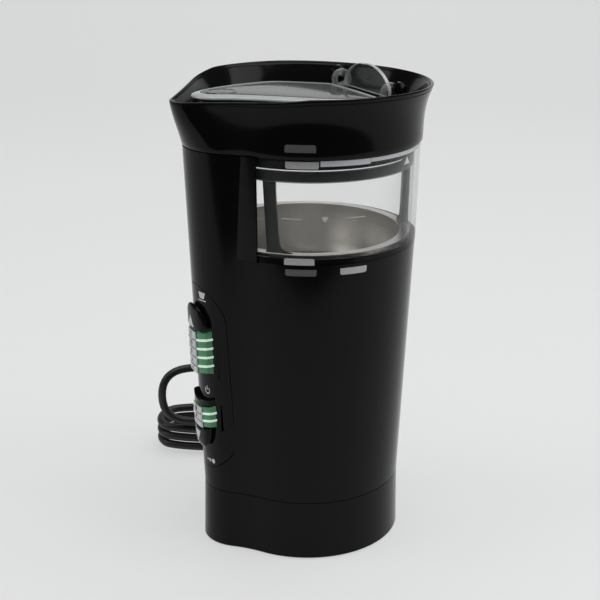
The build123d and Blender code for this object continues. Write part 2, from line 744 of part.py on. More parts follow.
switch_top = ROD_BOTTOM - SEAM_GAP - ROD_PLUNGER_H
with BuildPart() as interlock_switch:
    with Locations((0, ROD_CENTRE_Y + ROD_SWITCH_SHIFT, BOARD_Z[1] + RIDGE_H / 2)):
        Box(ROD_SWITCH_W, ROD_SWITCH_D, switch_top - BOARD_Z[1] - RIDGE_H / 2, align=UP)
    with Locations((0, ROD_CENTRE_Y + RIDGE_H / 2, switch_top)):
        Box(2 * ROD_R, 1.5 * ROD_R, ROD_PLUNGER_H, align=UP)
finish(interlock_switch, "interlock_switch")

# Motor: laminated field, brackets, bearings and brushes that stay with the housing
stator_top = STATOR_Z + STATOR_H
with BuildPart() as stator_core:
    with BuildSketch(Plane.XY.offset(STATOR_Z)):
        Circle(STATOR_R)
        Rectangle(2 * STATOR_R, 2 * STATOR_FLAT, mode=Mode.INTERSECT)
        Circle(BORE_R, mode=Mode.SUBTRACT)
        with Locations((BOLT_CIRCLE_R, 0), (-BOLT_CIRCLE_R, 0)):
            Circle(BOLT_R + SCREW_CLEAR, mode=Mode.SUBTRACT)
    extrude(amount=STATOR_H)
finish(stator_core, "stator_core")

with BuildPart() as field_coils:
    for start in (90 - COIL_SPAN / 2, 270 - COIL_SPAN / 2):
        sector(COIL_INNER_R, COIL_OUTER_R, start, COIL_SPAN, STATOR_Z - COIL_OUT, STATOR_Z)
        sector(COIL_INNER_R, COIL_OUTER_R, start, COIL_SPAN, stator_top, stator_top + COIL_OUT)
finish(field_coils, "field_coils")

for name, low, radius in (
    ("lower", LOWER_BRACKET_Z, LOWER_BRACKET_R),
    ("upper", UPPER_BRACKET_Z, UPPER_BRACKET_R),
):
    bearing_low = low - (BEARING_H - BRACKET_T) / 2
    with BuildPart() as bracket:
        post(radius, low, low + BRACKET_T)
        post(BEARING_R + BRACKET_T, bearing_low, bearing_low + BEARING_H)
        post(BEARING_R + RUN_CLEAR, bearing_low, bearing_low + BEARING_H, Mode.SUBTRACT)
        with Locations((BOLT_CIRCLE_R, 0), (-BOLT_CIRCLE_R, 0)):
            post(BOLT_R + SCREW_CLEAR, low, low + BRACKET_T, Mode.SUBTRACT)
    finish(bracket, f"{name}_bracket")
    with BuildPart() as bearing:
        tube(BEARING_R, SHAFT_R + RUN_CLEAR, bearing_low, bearing_low + BEARING_H)
    finish(bearing, f"{name}_bearing")

with BuildPart() as motor_bolts:
    with Locations((BOLT_CIRCLE_R, 0), (-BOLT_CIRCLE_R, 0)):
        post(BOLT_R, LOWER_BRACKET_Z, UPPER_BRACKET_Z + BRACKET_T)
        post(BOLT_HEAD_R, LOWER_BRACKET_Z - BOLT_HEAD_H, LOWER_BRACKET_Z)
        post(BOLT_HEAD_R, UPPER_BRACKET_Z + BRACKET_T, UPPER_BRACKET_Z + BRACKET_T + BOLT_HEAD_H)
finish(motor_bolts, "motor_bolts")

with BuildPart() as motor_dampers:
    with PolarLocations(DAMPER_CIRCLE_R, 3, start_angle=90):
        post(DAMPER_R, UPPER_BRACKET_Z + BRACKET_T, DECK_Z)
finish(motor_dampers, "motor_dampers")

brush_z = COMMUTATOR_Z + COMMUTATOR_H / 2
brush_start = COMMUTATOR_R + SCREW_CLEAR
spring_start = brush_start + BRUSH_L
holder_end = spring_start + BRUSH_SPRING_L
with BuildPart() as carbon_brushes:
    for side in (1, -1):
        with Locations((0, side * (brush_start + BRUSH_L / 2), brush_z)):
            Box(BRUSH_W, BRUSH_L, BRUSH_T)
finish(carbon_brushes, "carbon_brushes")

with BuildPart() as brush_springs:
    for side in (1, -1):
        with Locations((0, side * (spring_start + BRUSH_SPRING_L / 2), brush_z)):
            Cylinder(BRUSH_T / 2 - RUN_CLEAR, BRUSH_SPRING_L, rotation=(90, 0, 0))
            Cylinder(BRUSH_T / 4, BRUSH_SPRING_L, rotation=(90, 0, 0), mode=Mode.SUBTRACT)
finish(brush_springs, "brush_springs")

with BuildPart() as brush_holders:
    for side in (1, -1):
        bore_l = holder_end - brush_start - HOLDER_WALL
        with Locations((0, side * (holder_end - bore_l / 2 + HOLDER_WALL / 2), brush_z)):
            Box(BRUSH_W + 2 * HOLDER_WALL, bore_l + HOLDER_WALL, BRUSH_T + 2 * HOLDER_WALL)
        with Locations((0, side * (holder_end - bore_l / 2), brush_z)):
            Box(BRUSH_W + SCREW_CLEAR, bore_l, BRUSH_T + SCREW_CLEAR, mode=Mode.SUBTRACT)
        with Locations((0, side * (holder_end - HOLDER_WALL), LOWER_BRACKET_Z + BRACKET_T)):
            foot_h = brush_z - BRUSH_T / 2 - HOLDER_WALL - LOWER_BRACKET_Z - BRACKET_T
            Box(BRUSH_W, BRUSH_W, foot_h, align=UP)
finish(brush_holders, "brush_holders")

# Rotor: everything that turns with the motor shaft
with BuildPart() as motor_shaft:
    post(SHAFT_R, SHAFT_BOTTOM, DRIVE_Z + DRIVE_H)
finish(motor_shaft, "motor_shaft")

with BuildPart() as armature_core:
    tube(ARMATURE_R, SHAFT_R, STATOR_Z + 1, stator_top - 1)
finish(armature_core, "armature_core")

with BuildPart() as armature_winding:
    tube(WINDING_R, SHAFT_R, COMMUTATOR_Z + COMMUTATOR_H, STATOR_Z + 1)
    tube(WINDING_R, SHAFT_R, stator_top - 1, stator_top + COIL_OUT / 2)
finish(armature_winding, "armature_winding")

with BuildPart() as commutator:
    tube(COMMUTATOR_R, SHAFT_R, COMMUTATOR_Z, COMMUTATOR_Z + COMMUTATOR_H)
finish(commutator, "commutator")

with BuildPart() as cooling_fan:
    post(FAN_R, FAN_Z, FAN_Z + FAN_SHEET)
    post(2 * SHAFT_R, FAN_Z, FAN_Z + FAN_H)
    with PolarLocations(0, FAN_BLADES):
        with Locations((SHAFT_R, 0, FAN_Z)):
            Box(FAN_R - SHAFT_R - FAN_SHEET, FAN_SHEET, FAN_H, align=OUT)
    post(SHAFT_R, FAN_Z, FAN_Z + FAN_H, Mode.SUBTRACT)
finish(cooling_fan, "cooling_fan")

with BuildPart() as drive_coupling:
    tube(COUPLING_R, SHAFT_R, DRIVE_Z, DRIVE_Z + DRIVE_H)
    for middle in (0, 180):
        dog_z = DRIVE_Z + DRIVE_H
        sector(DOG_INNER_R, COUPLING_R, middle - DOG_SPAN / 2, DOG_SPAN, dog_z, dog_z + DOG_H)
finish(drive_coupling, "drive_coupling")

# Bowl: nesting skirt with lugs and hub, steel cup, clear wall, bush and seal
hub_recess_top = HUB_TOP - HUB_ROOF
with BuildPart() as bowl_skirt:
    cone(skirt_r(SKIRT_BOTTOM), SKIRT_BOTTOM, skirt_r(BOWL_SEAM), BOWL_SEAM + SEAM_GAP)
    post(BOWL_R_BOTTOM, BOWL_SEAM + SEAM_GAP, RING_TOP)
    skirt_floor = SKIRT_BOTTOM + SKIRT_WALL
    cone(SKIRT_R_BOTTOM - SKIRT_WALL, skirt_floor, SKIRT_R_TOP - SKIRT_WALL, RING_TOP, Mode.SUBTRACT)
    post(HUB_R, SKIRT_BOTTOM, HUB_TOP)
    post(HUB_R - HUB_WALL, SKIRT_BOTTOM, hub_recess_top, Mode.SUBTRACT)
    post(BUSH_R + RUN_CLEAR, hub_recess_top, HUB_TOP, Mode.SUBTRACT)
    for angle in LUG_ANGLES:
        lug_in = SKIRT_R_BOTTOM - SKIRT_WALL / 2
        sector(lug_in, LUG_R, angle - LUG_SPAN / 2, LUG_SPAN, LUG_Z, LUG_Z + LUG_H)
finish(bowl_skirt, "bowl_skirt")

with BuildPart() as bowl_wall:
    cone(bowl_r(RING_TOP), RING_TOP, bowl_r(BOWL_TOP), BOWL_TOP)
    cone(bowl_r(RING_TOP) - BOWL_WALL, RING_TOP, bowl_r(BOWL_TOP) - BOWL_WALL, BOWL_TOP, Mode.SUBTRACT)
finish(bowl_wall, "bowl_wall")

with BuildPart() as steel_cup:
    for inset, mode in ((0, Mode.ADD), (CUP_SHEET, Mode.SUBTRACT)):
        top = RING_TOP + CUP_SHEET
        with BuildSketch(Plane.XZ):
            with BuildLine():
                Line((0, CUP_BOTTOM + inset), (CUP_FLOOR_R, CUP_BOTTOM + inset))
                ThreePointArc(
                    (CUP_FLOOR_R, CUP_BOTTOM + inset),
                    (CUP_BEND_R - 0.7 * inset, CUP_BEND_Z + 0.7 * inset),
                    (CUP_WAIST_R - inset, CUP_WAIST_Z),
                )
                Line((CUP_WAIST_R - inset, CUP_WAIST_Z), (CUP_NECK_R - inset, top))
                Line((CUP_NECK_R - inset, top), (0, top))
                Line((0, top), (0, CUP_BOTTOM + inset))
            make_face()
        revolve(axis=Axis.Z, mode=mode)
        if inset == 0:
            post(CUP_R, RING_TOP, top)
    post(BUSH_R + RUN_CLEAR, CUP_BOTTOM, CUP_BOTTOM + CUP_SHEET, Mode.SUBTRACT)
finish(steel_cup, "steel_cup")

with BuildPart() as spindle_bush:
    post(BUSH_R, BUSH_BOTTOM, BUSH_TOP)
    post(BUSH_FLANGE_R, CUP_BOTTOM + CUP_SHEET, CUP_BOTTOM + 3 * CUP_SHEET)
    post(SPINDLE_R + RUN_CLEAR, BUSH_BOTTOM, BUSH_TOP, Mode.SUBTRACT)
finish(spindle_bush, "spindle_bush")

with BuildPart() as bowl_seal:
    tube(BUSH_FLANGE_R, BUSH_R + RUN_CLEAR, HUB_TOP, CUP_BOTTOM)
finish(bowl_seal, "bowl_seal")

# Blade set: everything that turns in the bowl
with BuildPart() as spindle:
    post(SPINDLE_R, DRIVEN_Z, BLADE_Z + BLADE_T + NUT_H - 1)
finish(spindle, "spindle")

with BuildPart() as driven_coupling:
    tube(COUPLING_R, SPINDLE_R, DRIVEN_Z, DRIVEN_Z + DRIVEN_H)
    for middle in (90, 270):
        sector(DOG_INNER_R, COUPLING_R, middle - DOG_SPAN / 2, DOG_SPAN, DRIVEN_Z - DOG_H, DRIVEN_Z)
finish(driven_coupling, "driven_coupling")

with BuildPart() as blade:
    with BuildSketch(Plane.XZ):
        with BuildLine():
            Polyline(
                (-BLADE_HALF, BLADE_Z + BLADE_RISE),
                (-BLADE_HALF + BLADE_TIP, BLADE_Z),
                (BLADE_HALF - BLADE_TIP, BLADE_Z),
                (BLADE_HALF, BLADE_Z + BLADE_RISE),
                (BLADE_HALF, BLADE_Z + BLADE_RISE + BLADE_T),
                (BLADE_HALF - BLADE_TIP, BLADE_Z + BLADE_T),
                (-BLADE_HALF + BLADE_TIP, BLADE_Z + BLADE_T),
                (-BLADE_HALF, BLADE_Z + BLADE_RISE + BLADE_T),
                close=True,
            )
        make_face()
    extrude(amount=BLADE_W / 2, both=True)
    post(SPINDLE_R + BLADE_T, BUSH_TOP + SEAM_GAP, BLADE_Z)
    post(SPINDLE_R, BUSH_TOP + SEAM_GAP, BLADE_Z + BLADE_T, Mode.SUBTRACT)
finish(blade, "blade")

with BuildPart() as blade_nut:
    with BuildSketch(Plane.XY.offset(BLADE_Z + BLADE_T)):
        RegularPolygon(NUT_ACROSS / 2, 6, major_radius=False)
    extrude(amount=NUT_H)
    post(SPINDLE_R, BLADE_Z + BLADE_T, BLADE_Z + BLADE_T + NUT_H - 1, Mode.SUBTRACT)
finish(blade_nut, "blade_nut")

# Wiper: a ring inside the clear wall with three arms that sweep it
with BuildPart() as wiper:
    tube(WIPER_R, WIPER_R - WIPER_WALL, WIPER_Z, WIPER_Z + WIPER_H)
    for angle in WIPER_ANGLES:
        with PolarLocations(ARM_OUTER_R, 1, start_angle=angle):
            with Locations((0, 0, ARM_BOTTOM)):
                Box(ARM_T, ARM_W, WIPER_Z + 1 - ARM_BOTTOM, align=(Align.MAX, Align.CENTER, Align.MIN))
                Box(ARM_T + ARM_FOOT, ARM_W, ARM_FOOT_H, align=(Align.MAX, Align.CENTER, Align.MIN))
finish(wiper, "wiper")

# Lid: flared shell with the beak, and the insert with its mouth, collar and skirt


def lid_sizes(share, inset):
    """Four outline sizes of the lid between its foot and its brim, moved inwards."""
    mixed = [foot + share * (brim - foot) for foot, brim in zip(LID_FOOT, LID_BRIM)]
    return (mixed[0] - inset, mixed[1] - inset, mixed[2], mixed[3] + inset)


def lid_share(z):
    """How far the flare has gone at a height."""
    for (low, share_low), (high, share_high) in zip(LID_FLARE, LID_FLARE[1:]):
        if low <= z <= high:
            return share_low + (share_high - share_low) * (z - low) / (high - low)


def lid_loft(low, inset, mode=Mode.ADD):
    """Solid inside the lid's outline from a height to the rim."""
    heights = [low] + [z for z, share in LID_FLARE if z > low]
    plan_loft([(z, lid_sizes(lid_share(z), inset)) for z in heights], mode)


def beak_cut(drop):
    """Slanted cut along the top of the beak."""
    far = 2 * BARREL_R
    with BuildSketch(Plane.YZ) as wedge:
        with BuildLine():
            Polyline(
                (-BEAK_CUT_START, RIM - drop),
                (-far, RIM - drop - (far - BEAK_CUT_START) / BEAK_SLOPE),
                (-far, RIM + 1),
                (far, RIM + 1),
                (far, RIM - drop),
                close=True,
            )
        make_face()
    extrude(wedge.sketch, amount=2 * BARREL_R, both=True, mode=Mode.SUBTRACT)


def mouth_outline(grow):
    """Tapered outline of the pouring mouth, wide at the back and round at the spout."""
    with Locations((0, MOUTH_NOSE_Y)):
        Circle(MOUTH_NOSE_R + grow)
    with Locations((0, MOUTH_BELLY_Y)):
        Circle(MOUTH_BELLY_R + grow)
    with Locations((0, MOUTH_BACK_Y + grow)):
        Rectangle(MOUTH_BACK_W + 2 * grow, 1, align=(Align.CENTER, Align.MAX))
    make_hull()


floor_top = LID_SEAM + LID_DECK_T
with BuildPart() as lid_shell:
    lid_loft(LID_SEAM, 0)
    lid_loft(floor_top, LID_WALL, Mode.SUBTRACT)
    post(LID_SKIRT_R + SCREW_CLEAR, LID_SEAM, floor_top, Mode.SUBTRACT)
    beak_cut(0)
finish(lid_shell, "lid_shell")

funnel_out = LID_WALL + SCREW_CLEAR
bracket_x = EYE_X + EYE_W / 2 + BRACKET_GAP
with BuildPart() as lid_funnel:
    lid_loft(LID_DECK_Z, funnel_out)
    lid_loft(LID_DECK_Z + LID_DECK_T, funnel_out + COLLAR_WALL, Mode.SUBTRACT)
    beak_cut(LIP_DROP)
    tube(LID_SKIRT_R, LID_SKIRT_R - LID_WALL, LID_SKIRT_BOTTOM, LID_DECK_Z)
    with BuildSketch(Plane.XY.offset(LID_DECK_Z)):
        mouth_outline(COLLAR_WALL)
    extrude(amount=COLLAR_TOP - LID_DECK_Z)
    with BuildSketch(Plane.XY.offset(LID_DECK_Z)):
        mouth_outline(0)
    extrude(amount=COLLAR_TOP - LID_DECK_Z, mode=Mode.SUBTRACT)
    for side in (1, -1):
        with Locations((side * (bracket_x + BRACKET_W / 2), HINGE_Y, LID_DECK_Z)):
            Box(BRACKET_W, 2 * EYE_R, HINGE_Z + EYE_R - LID_DECK_Z, align=UP)
        with Locations((side * (bracket_x + BRACKET_W / 2), HINGE_Y, HINGE_Z)):
            Cylinder(PIN_R, BRACKET_W, rotation=(0, 90, 0), mode=Mode.SUBTRACT)
finish(lid_funnel, "lid_funnel")

with BuildPart() as cover_pins:
    for side in (1, -1):
        pin_l = bracket_x + BRACKET_W - EYE_X + EYE_W / 2
        with Locations((side * (EYE_X - EYE_W / 2 + pin_l / 2), HINGE_Y, HINGE_Z)):
            Cylinder(PIN_R, pin_l, rotation=(0, 90, 0))
finish(cover_pins, "cover_pins")

cover_z = COLLAR_TOP + COVER_GAP
with BuildPart() as pour_cover:
    with BuildSketch(Plane.XY.offset(cover_z)):
        mouth_outline(COVER_LAP)
    extrude(amount=COVER_EDGE)
    for z, grow in ((cover_z + COVER_EDGE, 0), (cover_z + COVER_EDGE + COVER_RISE, -COVER_SLOPE)):
        with BuildSketch(Plane.XY.offset(z)):
            mouth_outline(grow)
    loft(ruled=True)
    for z, grow in ((cover_z, -COVER_EDGE), (cover_z + COVER_RISE, -COVER_SLOPE - COVER_EDGE)):
        with BuildSketch(Plane.XY.offset(z)):
            mouth_outline(grow)
    loft(ruled=True, mode=Mode.SUBTRACT)
    with Locations((0, MOUTH_BACK_Y, cover_z)):
        Box(2 * EYE_X + EYE_W, HINGE_Y - MOUTH_BACK_Y, COVER_EDGE, align=(Align.CENTER, Align.MIN, Align.MIN))
    with BuildSketch(Plane.XZ.offset(-HINGE_Y)):
        with Locations((0, cover_z)):
            Ellipse(TAB_W / 2, TAB_TOP - cover_z)
            Rectangle(TAB_W, TAB_TOP - cover_z, align=(Align.CENTER, Align.MAX), mode=Mode.SUBTRACT)
    extrude(amount=TAB_T / 2, both=True)
    for side in (1, -1):
        with Locations((side * EYE_X, HINGE_Y, HINGE_Z)):
            Cylinder(EYE_R, EYE_W, rotation=(0, 90, 0))
            Cylinder(PIN_R + EYE_CLEAR, EYE_W, rotation=(0, 90, 0), mode=Mode.SUBTRACT)
finish(pour_cover, "pour_cover")

# Cord: strain relief, the free stretch, the tied hank and the plug
relief_end = RELIEF_START + RELIEF_L
with BuildPart() as strain_relief:
    with BuildSketch(Plane(exit_centre, x_dir=exit_dir, z_dir=exit_side)):
        with BuildLine():
            Polyline(
                (RELIEF_INSIDE, 0),
                (RELIEF_INSIDE, RELIEF_FLANGE_R),
                (RELIEF_INSIDE + RELIEF_FLANGE_T, RELIEF_FLANGE_R),
                (RELIEF_INSIDE + RELIEF_FLANGE_T, RELIEF_ROOT_R),
                (RELIEF_START, RELIEF_ROOT_R),
                (relief_end, RELIEF_TIP_R),
                (relief_end, 0),
                close=True,
            )
        make_face()
    revolve(axis=Axis(exit_centre, exit_dir))
finish(strain_relief, "strain_relief")

along = Vector(cos(radians(HANK_TURN)), sin(radians(HANK_TURN)))
across = Vector(-along.Y, along.X)


def hank_point(u, v, z):
    """Place given along the hank, across it and above the table."""
    return Vector(*HANK_CENTRE) + along * u + across * v + Vector(0, 0, z)


def cord_tube(points, radii):
    """Tube of the cord's thickness along straight runs and tangent arcs."""
    with BuildPart() as lead:
        with BuildLine():
            route = FilletPolyline(*points, radius=radii)
        with BuildSketch(Plane(route @ 0, z_dir=route % 0)):
            Circle(CORD_D / 2)
        sweep(path=route)
    share = lead.part.volume / (route.length * pi * CORD_D**2 / 4)
    print(f"length {route.length:.1f}, volume against section times length {share:.4f}")
    return lead, route


# The hank's loops climb steadily, one pitch a turn, round four corners
corners = ((-HANK_A, -HANK_B), (-HANK_A, HANK_B), (HANK_A, HANK_B), (HANK_A, -HANK_B))
hank_points = [hank_point(HANK_A + HANK_TAIL, -HANK_B, HANK_Z)]
for index in range(4 * HANK_LOOPS):
    u, v = corners[index % 4]
    hank_points.append(hank_point(u, v, HANK_Z + (index + 1) * HANK_PITCH / 4))
last_rise = HANK_PITCH / 4 / (2 * HANK_A)
hank_end_z = HANK_Z + HANK_LOOPS * HANK_PITCH + last_rise * (HANK_A - CORD_JOIN_U)
hank_points.append(hank_point(CORD_JOIN_U, -HANK_B, hank_end_z))
cord_hank, hank_path = cord_tube(hank_points, [HANK_R] * (4 * HANK_LOOPS))
finish(cord_hank, "cord_hank")

samples = [hank_path.position_at(index / 1500) for index in range(1501)]
apart = int(1500 * 60 / hank_path.length)
least = min(
    (samples[i] - samples[j]).length - CORD_D
    for i in range(0, 1501, 3)
    for j in range(i + apart, 1501)
)
print(f"least gap of the hank to itself {least:.2f}")

# The free stretch, from the strain relief over the hank and round its standing loop
loop_low = hank_point(CORD_JOIN_U - LOOP_RUN, -HANK_B, hank_end_z + last_rise * LOOP_RUN)
relief_tip = exit_centre + exit_dir * relief_end
cord_points = [
    relief_tip,
    relief_tip + exit_dir * 14.4,
    hank_point(41, 18, 23),
    hank_point(26, 21, 32),
    hank_point(4, 12, 41),
    hank_point(-6, 1, 47),
    hank_point(CORD_JOIN_U - LOOP_RUN, -HANK_B, 47),
    loop_low,
    hank_point(CORD_JOIN_U, -HANK_B, hank_end_z),
]
radii = []
for before, point, after in zip(cord_points, cord_points[1:], cord_points[2:]):
    turn = (point - before).get_angle(after - point)
    shorter = min((point - before).length, (after - point).length)
    radii.append(0.45 * shorter / tan(radians(turn) / 2))
print("cord radii", [round(radius, 1) for radius in radii])
cord, cord_path = cord_tube(cord_points, radii)
finish(cord, "cord")

tie_half = HANK_B + CORD_D / 2 + SEAM_GAP
tie_top = hank_end_z + CORD_D / 2 + SEAM_GAP
tie_middle = (tie_top + TIE_T + TIE_LIFT) / 2
tie_tall = tie_top + TIE_T - TIE_LIFT
with BuildPart() as cord_tie:
    with BuildSketch(Plane(hank_point(-TIE_W / 2, 0, 0), x_dir=across, z_dir=along)):
        with Locations((0, tie_middle)):
            Rectangle(2 * (tie_half + TIE_T), tie_tall)
            Rectangle(2 * tie_half, tie_tall - 2 * TIE_T, mode=Mode.SUBTRACT)
    extrude(amount=TIE_W)
finish(cord_tie, "cord_tie")

plug_start = HANK_A + HANK_TAIL + RUN_CLEAR
plug_z = PLUG_H / 2 + SEAM_GAP
plug_face = plug_start + PLUG_BOOT + PLUG_L
with BuildPart() as plug_body:
    with BuildSketch(Plane(hank_point(plug_start, -HANK_B, HANK_Z), x_dir=across, z_dir=along)):
        Circle(CORD_D / 2 + BOOT_WALL)
    with BuildSketch(Plane(hank_point(plug_start + PLUG_BOOT, -HANK_B, plug_z), x_dir=across, z_dir=along)):
        Circle(PLUG_H / 2)
    loft()
    with BuildSketch(Plane(hank_point(plug_start + PLUG_BOOT, -HANK_B, plug_z), x_dir=across, z_dir=along)):
        RectangleRounded(PLUG_W, PLUG_H, PLUG_H / 4)
    extrude(amount=PLUG_L)
finish(plug_body, "plug_body")

with BuildPart() as plug_blades:
    with BuildSketch(Plane(hank_point(plug_face, -HANK_B, plug_z), x_dir=across, z_dir=along)):
        with GridLocations(BLADE_PITCH, 0, 2, 1):
            Rectangle(PLUG_BLADE_T, PLUG_BLADE_W)
    extrude(amount=PLUG_BLADE_L)
finish(plug_blades, "plug_blades")
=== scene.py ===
"""Electric coffee grinder: black body, clear bowl over a steel cup, flared lid with a pouring beak."""

from math import atan2, cos, pi, radians, sin, sqrt

import bpy
from mathutils import Matrix, Vector


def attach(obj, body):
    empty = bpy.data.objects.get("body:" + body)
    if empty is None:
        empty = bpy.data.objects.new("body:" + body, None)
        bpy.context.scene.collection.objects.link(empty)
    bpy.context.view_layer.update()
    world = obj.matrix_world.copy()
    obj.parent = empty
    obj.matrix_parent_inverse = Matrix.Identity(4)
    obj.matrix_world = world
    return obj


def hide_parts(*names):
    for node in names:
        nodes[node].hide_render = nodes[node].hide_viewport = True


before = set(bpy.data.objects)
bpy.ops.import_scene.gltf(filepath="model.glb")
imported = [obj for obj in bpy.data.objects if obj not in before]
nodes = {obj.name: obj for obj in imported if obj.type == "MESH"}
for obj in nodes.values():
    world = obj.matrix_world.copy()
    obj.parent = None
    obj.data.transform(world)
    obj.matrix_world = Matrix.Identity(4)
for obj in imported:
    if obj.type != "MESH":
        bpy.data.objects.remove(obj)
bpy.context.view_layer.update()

# --- The view -------------------------------------------------------------
# The grinder stands on a white table and is seen from a little above, turned
# so that the control column is at the left edge and the clear bowl faces us.
scene = bpy.context.scene
scene.view_settings.view_transform = "Standard"
camera_data = bpy.data.cameras.new("camera")
camera_data.lens = 75.51
camera_data.sensor_width = 36
camera = bpy.data.objects.new("camera", camera_data)
scene.collection.objects.link(camera)
camera.matrix_world = (
    Matrix.Translation((0.4995, -0.2656, 0.3109))
    @ Matrix.Rotation(radians(62.39), 4, "Z")
    @ Matrix.Rotation(radians(70.8), 4, "X")
    @ Matrix.Rotation(radians(0.32), 4, "Z")
)
scene.camera = camera

# --- Mains lead -----------------------------------------------------------
# A thin two-core PVC lead. It leaves the strain relief at the back, stands
# up in a loop beside the hank that its spare length is folded into, and
# ends in a moulded plug. The hank lies on the table, held by a tie.


class Wire:
    """An outgoing socket of a finish, written in sums as a number is."""

    def __init__(self, tree, socket):
        self.tree = tree
        self.socket = socket

    def feed(self, kind, settings=None, sockets=None, outlet=0):
        """Adds a node, sets it up, fills its sockets and gives one of its outlets."""
        node = self.tree.nodes.new("ShaderNode" + kind)
        for name, value in (settings or {}).items():
            if name == "stops":
                ramp = node.color_ramp
                while len(ramp.elements) < len(value):
                    ramp.elements.new(0.5)
                for element, (at, shade) in zip(ramp.elements, value):
                    element.position = at
                    element.color = (*shade, 1)
            else:
                setattr(node, name, value)
        for name, value in (sockets or {}).items():
            if isinstance(value, Wire):
                self.tree.links.new(value.socket, node.inputs[name])
            else:
                node.inputs[name].default_value = value
        return Wire(self.tree, node.outputs[outlet])

    def sum(self, operation, *values):
        return self.feed("Math", {"operation": operation}, dict(enumerate(values)))

    def into(self, shader, socket):
        self.tree.links.new(self.socket, shader.inputs[socket])

    def __add__(self, other):
        return self.sum("ADD", self, other)

    def __sub__(self, other):
        return self.sum("SUBTRACT", self, other)

    def __mul__(self, other):
        return self.sum("MULTIPLY", self, other)

    def __truediv__(self, other):
        return self.sum("DIVIDE", self, other)

    def __pow__(self, other):
        return self.sum("POWER", self, other)

    def __gt__(self, other):
        return self.sum("GREATER_THAN", self, other)

    def __lt__(self, other):
        return self.sum("LESS_THAN", self, other)

    def __rsub__(self, other):
        return self.sum("SUBTRACT", other, self)

    __radd__ = __add__
    __rmul__ = __mul__


def new_finish(name, **constants):
    """A new material with these values on its shader, and the piece's own coordinates."""
    material = bpy.data.materials.new(name)
    material.use_nodes = True
    tree = material.node_tree
    shader = tree.nodes["Principled BSDF"]
    for socket, value in constants.items():
        shader.inputs[socket.replace("_", " ")].default_value = value
    place = Wire(tree, tree.nodes.new("ShaderNodeTexCoord").outputs["Object"])
    return material, shader, place


def noise(place, scale, detail=2.0, roughness=0.5):
    settings = {"Vector": place, "Scale": scale, "Detail": detail, "Roughness": roughness}
    return place.feed("TexNoise", {}, settings)


def mixed(mask, low, high):
    """One colour where the mask is 0, the other where it is 1."""
    return mask.feed("Mix", {"data_type": "RGBA", "clamp_factor": True}, {0: mask, 6: low, 7: high}, 2)


def stretched(place, x, y, z):
    return place.feed("VectorMath", {"operation": "MULTIPLY"}, {0: place, 1: (x, y, z)})


def bumped(shader, height, strength, distance):
    relief = height.feed("Bump", {}, {"Height": height, "Strength": strength, "Distance": distance})
    relief.into(shader, "Normal")


def plastic(name, dark, light, rough, grain_scale, grain, **constants):
    """Moulded plastic: two near shades in slow drifts, a roughness that wanders, and a fine moulded grain."""
    material, shader, place = new_finish(name, **constants)
    drift = noise(place, 22, 3)
    fine = noise(place, grain_scale, 2)
    mixed(drift, (*dark, 1), (*light, 1)).into(shader, "Base Color")
    (drift * 0.10 + fine * 0.06 + (rough - 0.08)).into(shader, "Roughness")
    bumped(shader, fine, 1.0, grain)
    return material


def dress(finish, *names):
    """Gives CAD nodes that stay as they are this finish."""
    for name in names:
        for slot in nodes[name].material_slots:
            slot.material = finish


hank_middle = Vector((-0.0925, -0.0035, 0))
hank_turn = radians(62.4)


def hank_point(u, v, z):
    """A place given along the hank, across it, and above the table."""
    along = Vector((cos(hank_turn), sin(hank_turn), 0))
    across = Vector((-sin(hank_turn), cos(hank_turn), 0))
    return hank_middle + u * along + v * across + Vector((0, 0, z))


exit_bearing, exit_height, relief_reach = radians(152), 0.018, 0.0692
exit_way = Vector((cos(exit_bearing), sin(exit_bearing), 0))
relief_tip = Vector((0, 0, exit_height)) + exit_way * relief_reach
lead_points = [
    relief_tip,
    relief_tip + exit_way * 0.0144,
    hank_point(0.041, 0.018, 0.023),
    hank_point(0.026, 0.021, 0.032),
    hank_point(0.004, 0.012, 0.041),
    hank_point(-0.006, 0.001, 0.047),
    hank_point(-0.033, -0.0134, 0.049),
    hank_point(-0.033, -0.0134, 0.0205),
]
fold_r, fold_half = 0.0137, 0.0222
hank_top, hank_fall, fold_steps = 0.0193, 0.0155, 36
for step in range(fold_steps + 1):
    angle = radians(-95 + 30 * step)
    run = max(-1, min(1, 2.2 * cos(angle))) * fold_half
    height = hank_top - hank_fall * step / fold_steps
    lead_points.append(hank_point(run + fold_r * cos(angle), fold_r * sin(angle), height))
lead_points.append(hank_point(0.0396, -0.0134, 0.0035))
lead_curve = bpy.data.curves.new("mains_lead", "CURVE")
lead_curve.dimensions = "3D"
lead_curve.bevel_depth = 0.0022
lead_curve.bevel_resolution = 5
lead_curve.resolution_u = 8
lead_curve.use_fill_caps = True
lead_line = lead_curve.splines.new("NURBS")
lead_line.points.add(len(lead_points) - 1)
for point, at in zip(lead_line.points, lead_points):
    point.co = (*at, 1)
lead_line.order_u = 3
lead_line.use_endpoint_u = True
mains_lead = bpy.data.objects.new("mains_lead", lead_curve)
scene.collection.objects.link(mains_lead)
pvc = plastic("lead_pvc", (0.005, 0.005, 0.006), (0.010, 0.010, 0.011), 0.46, 900, 0.00002)
lead_curve.materials.append(pvc)
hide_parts("cord", "cord_hank")
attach(mains_lead, "base")
dress(pvc, "plug_body", "strain_relief", "cord_tie")

# --- Housing and base tray -------------------------------------------------
# The gloss black ABS body: a drafted barrel with a front lobe that rises
# beside the bowl as a column. The base tray closes it from below, with a
# fine seam between them, and stands on four rubber feet.


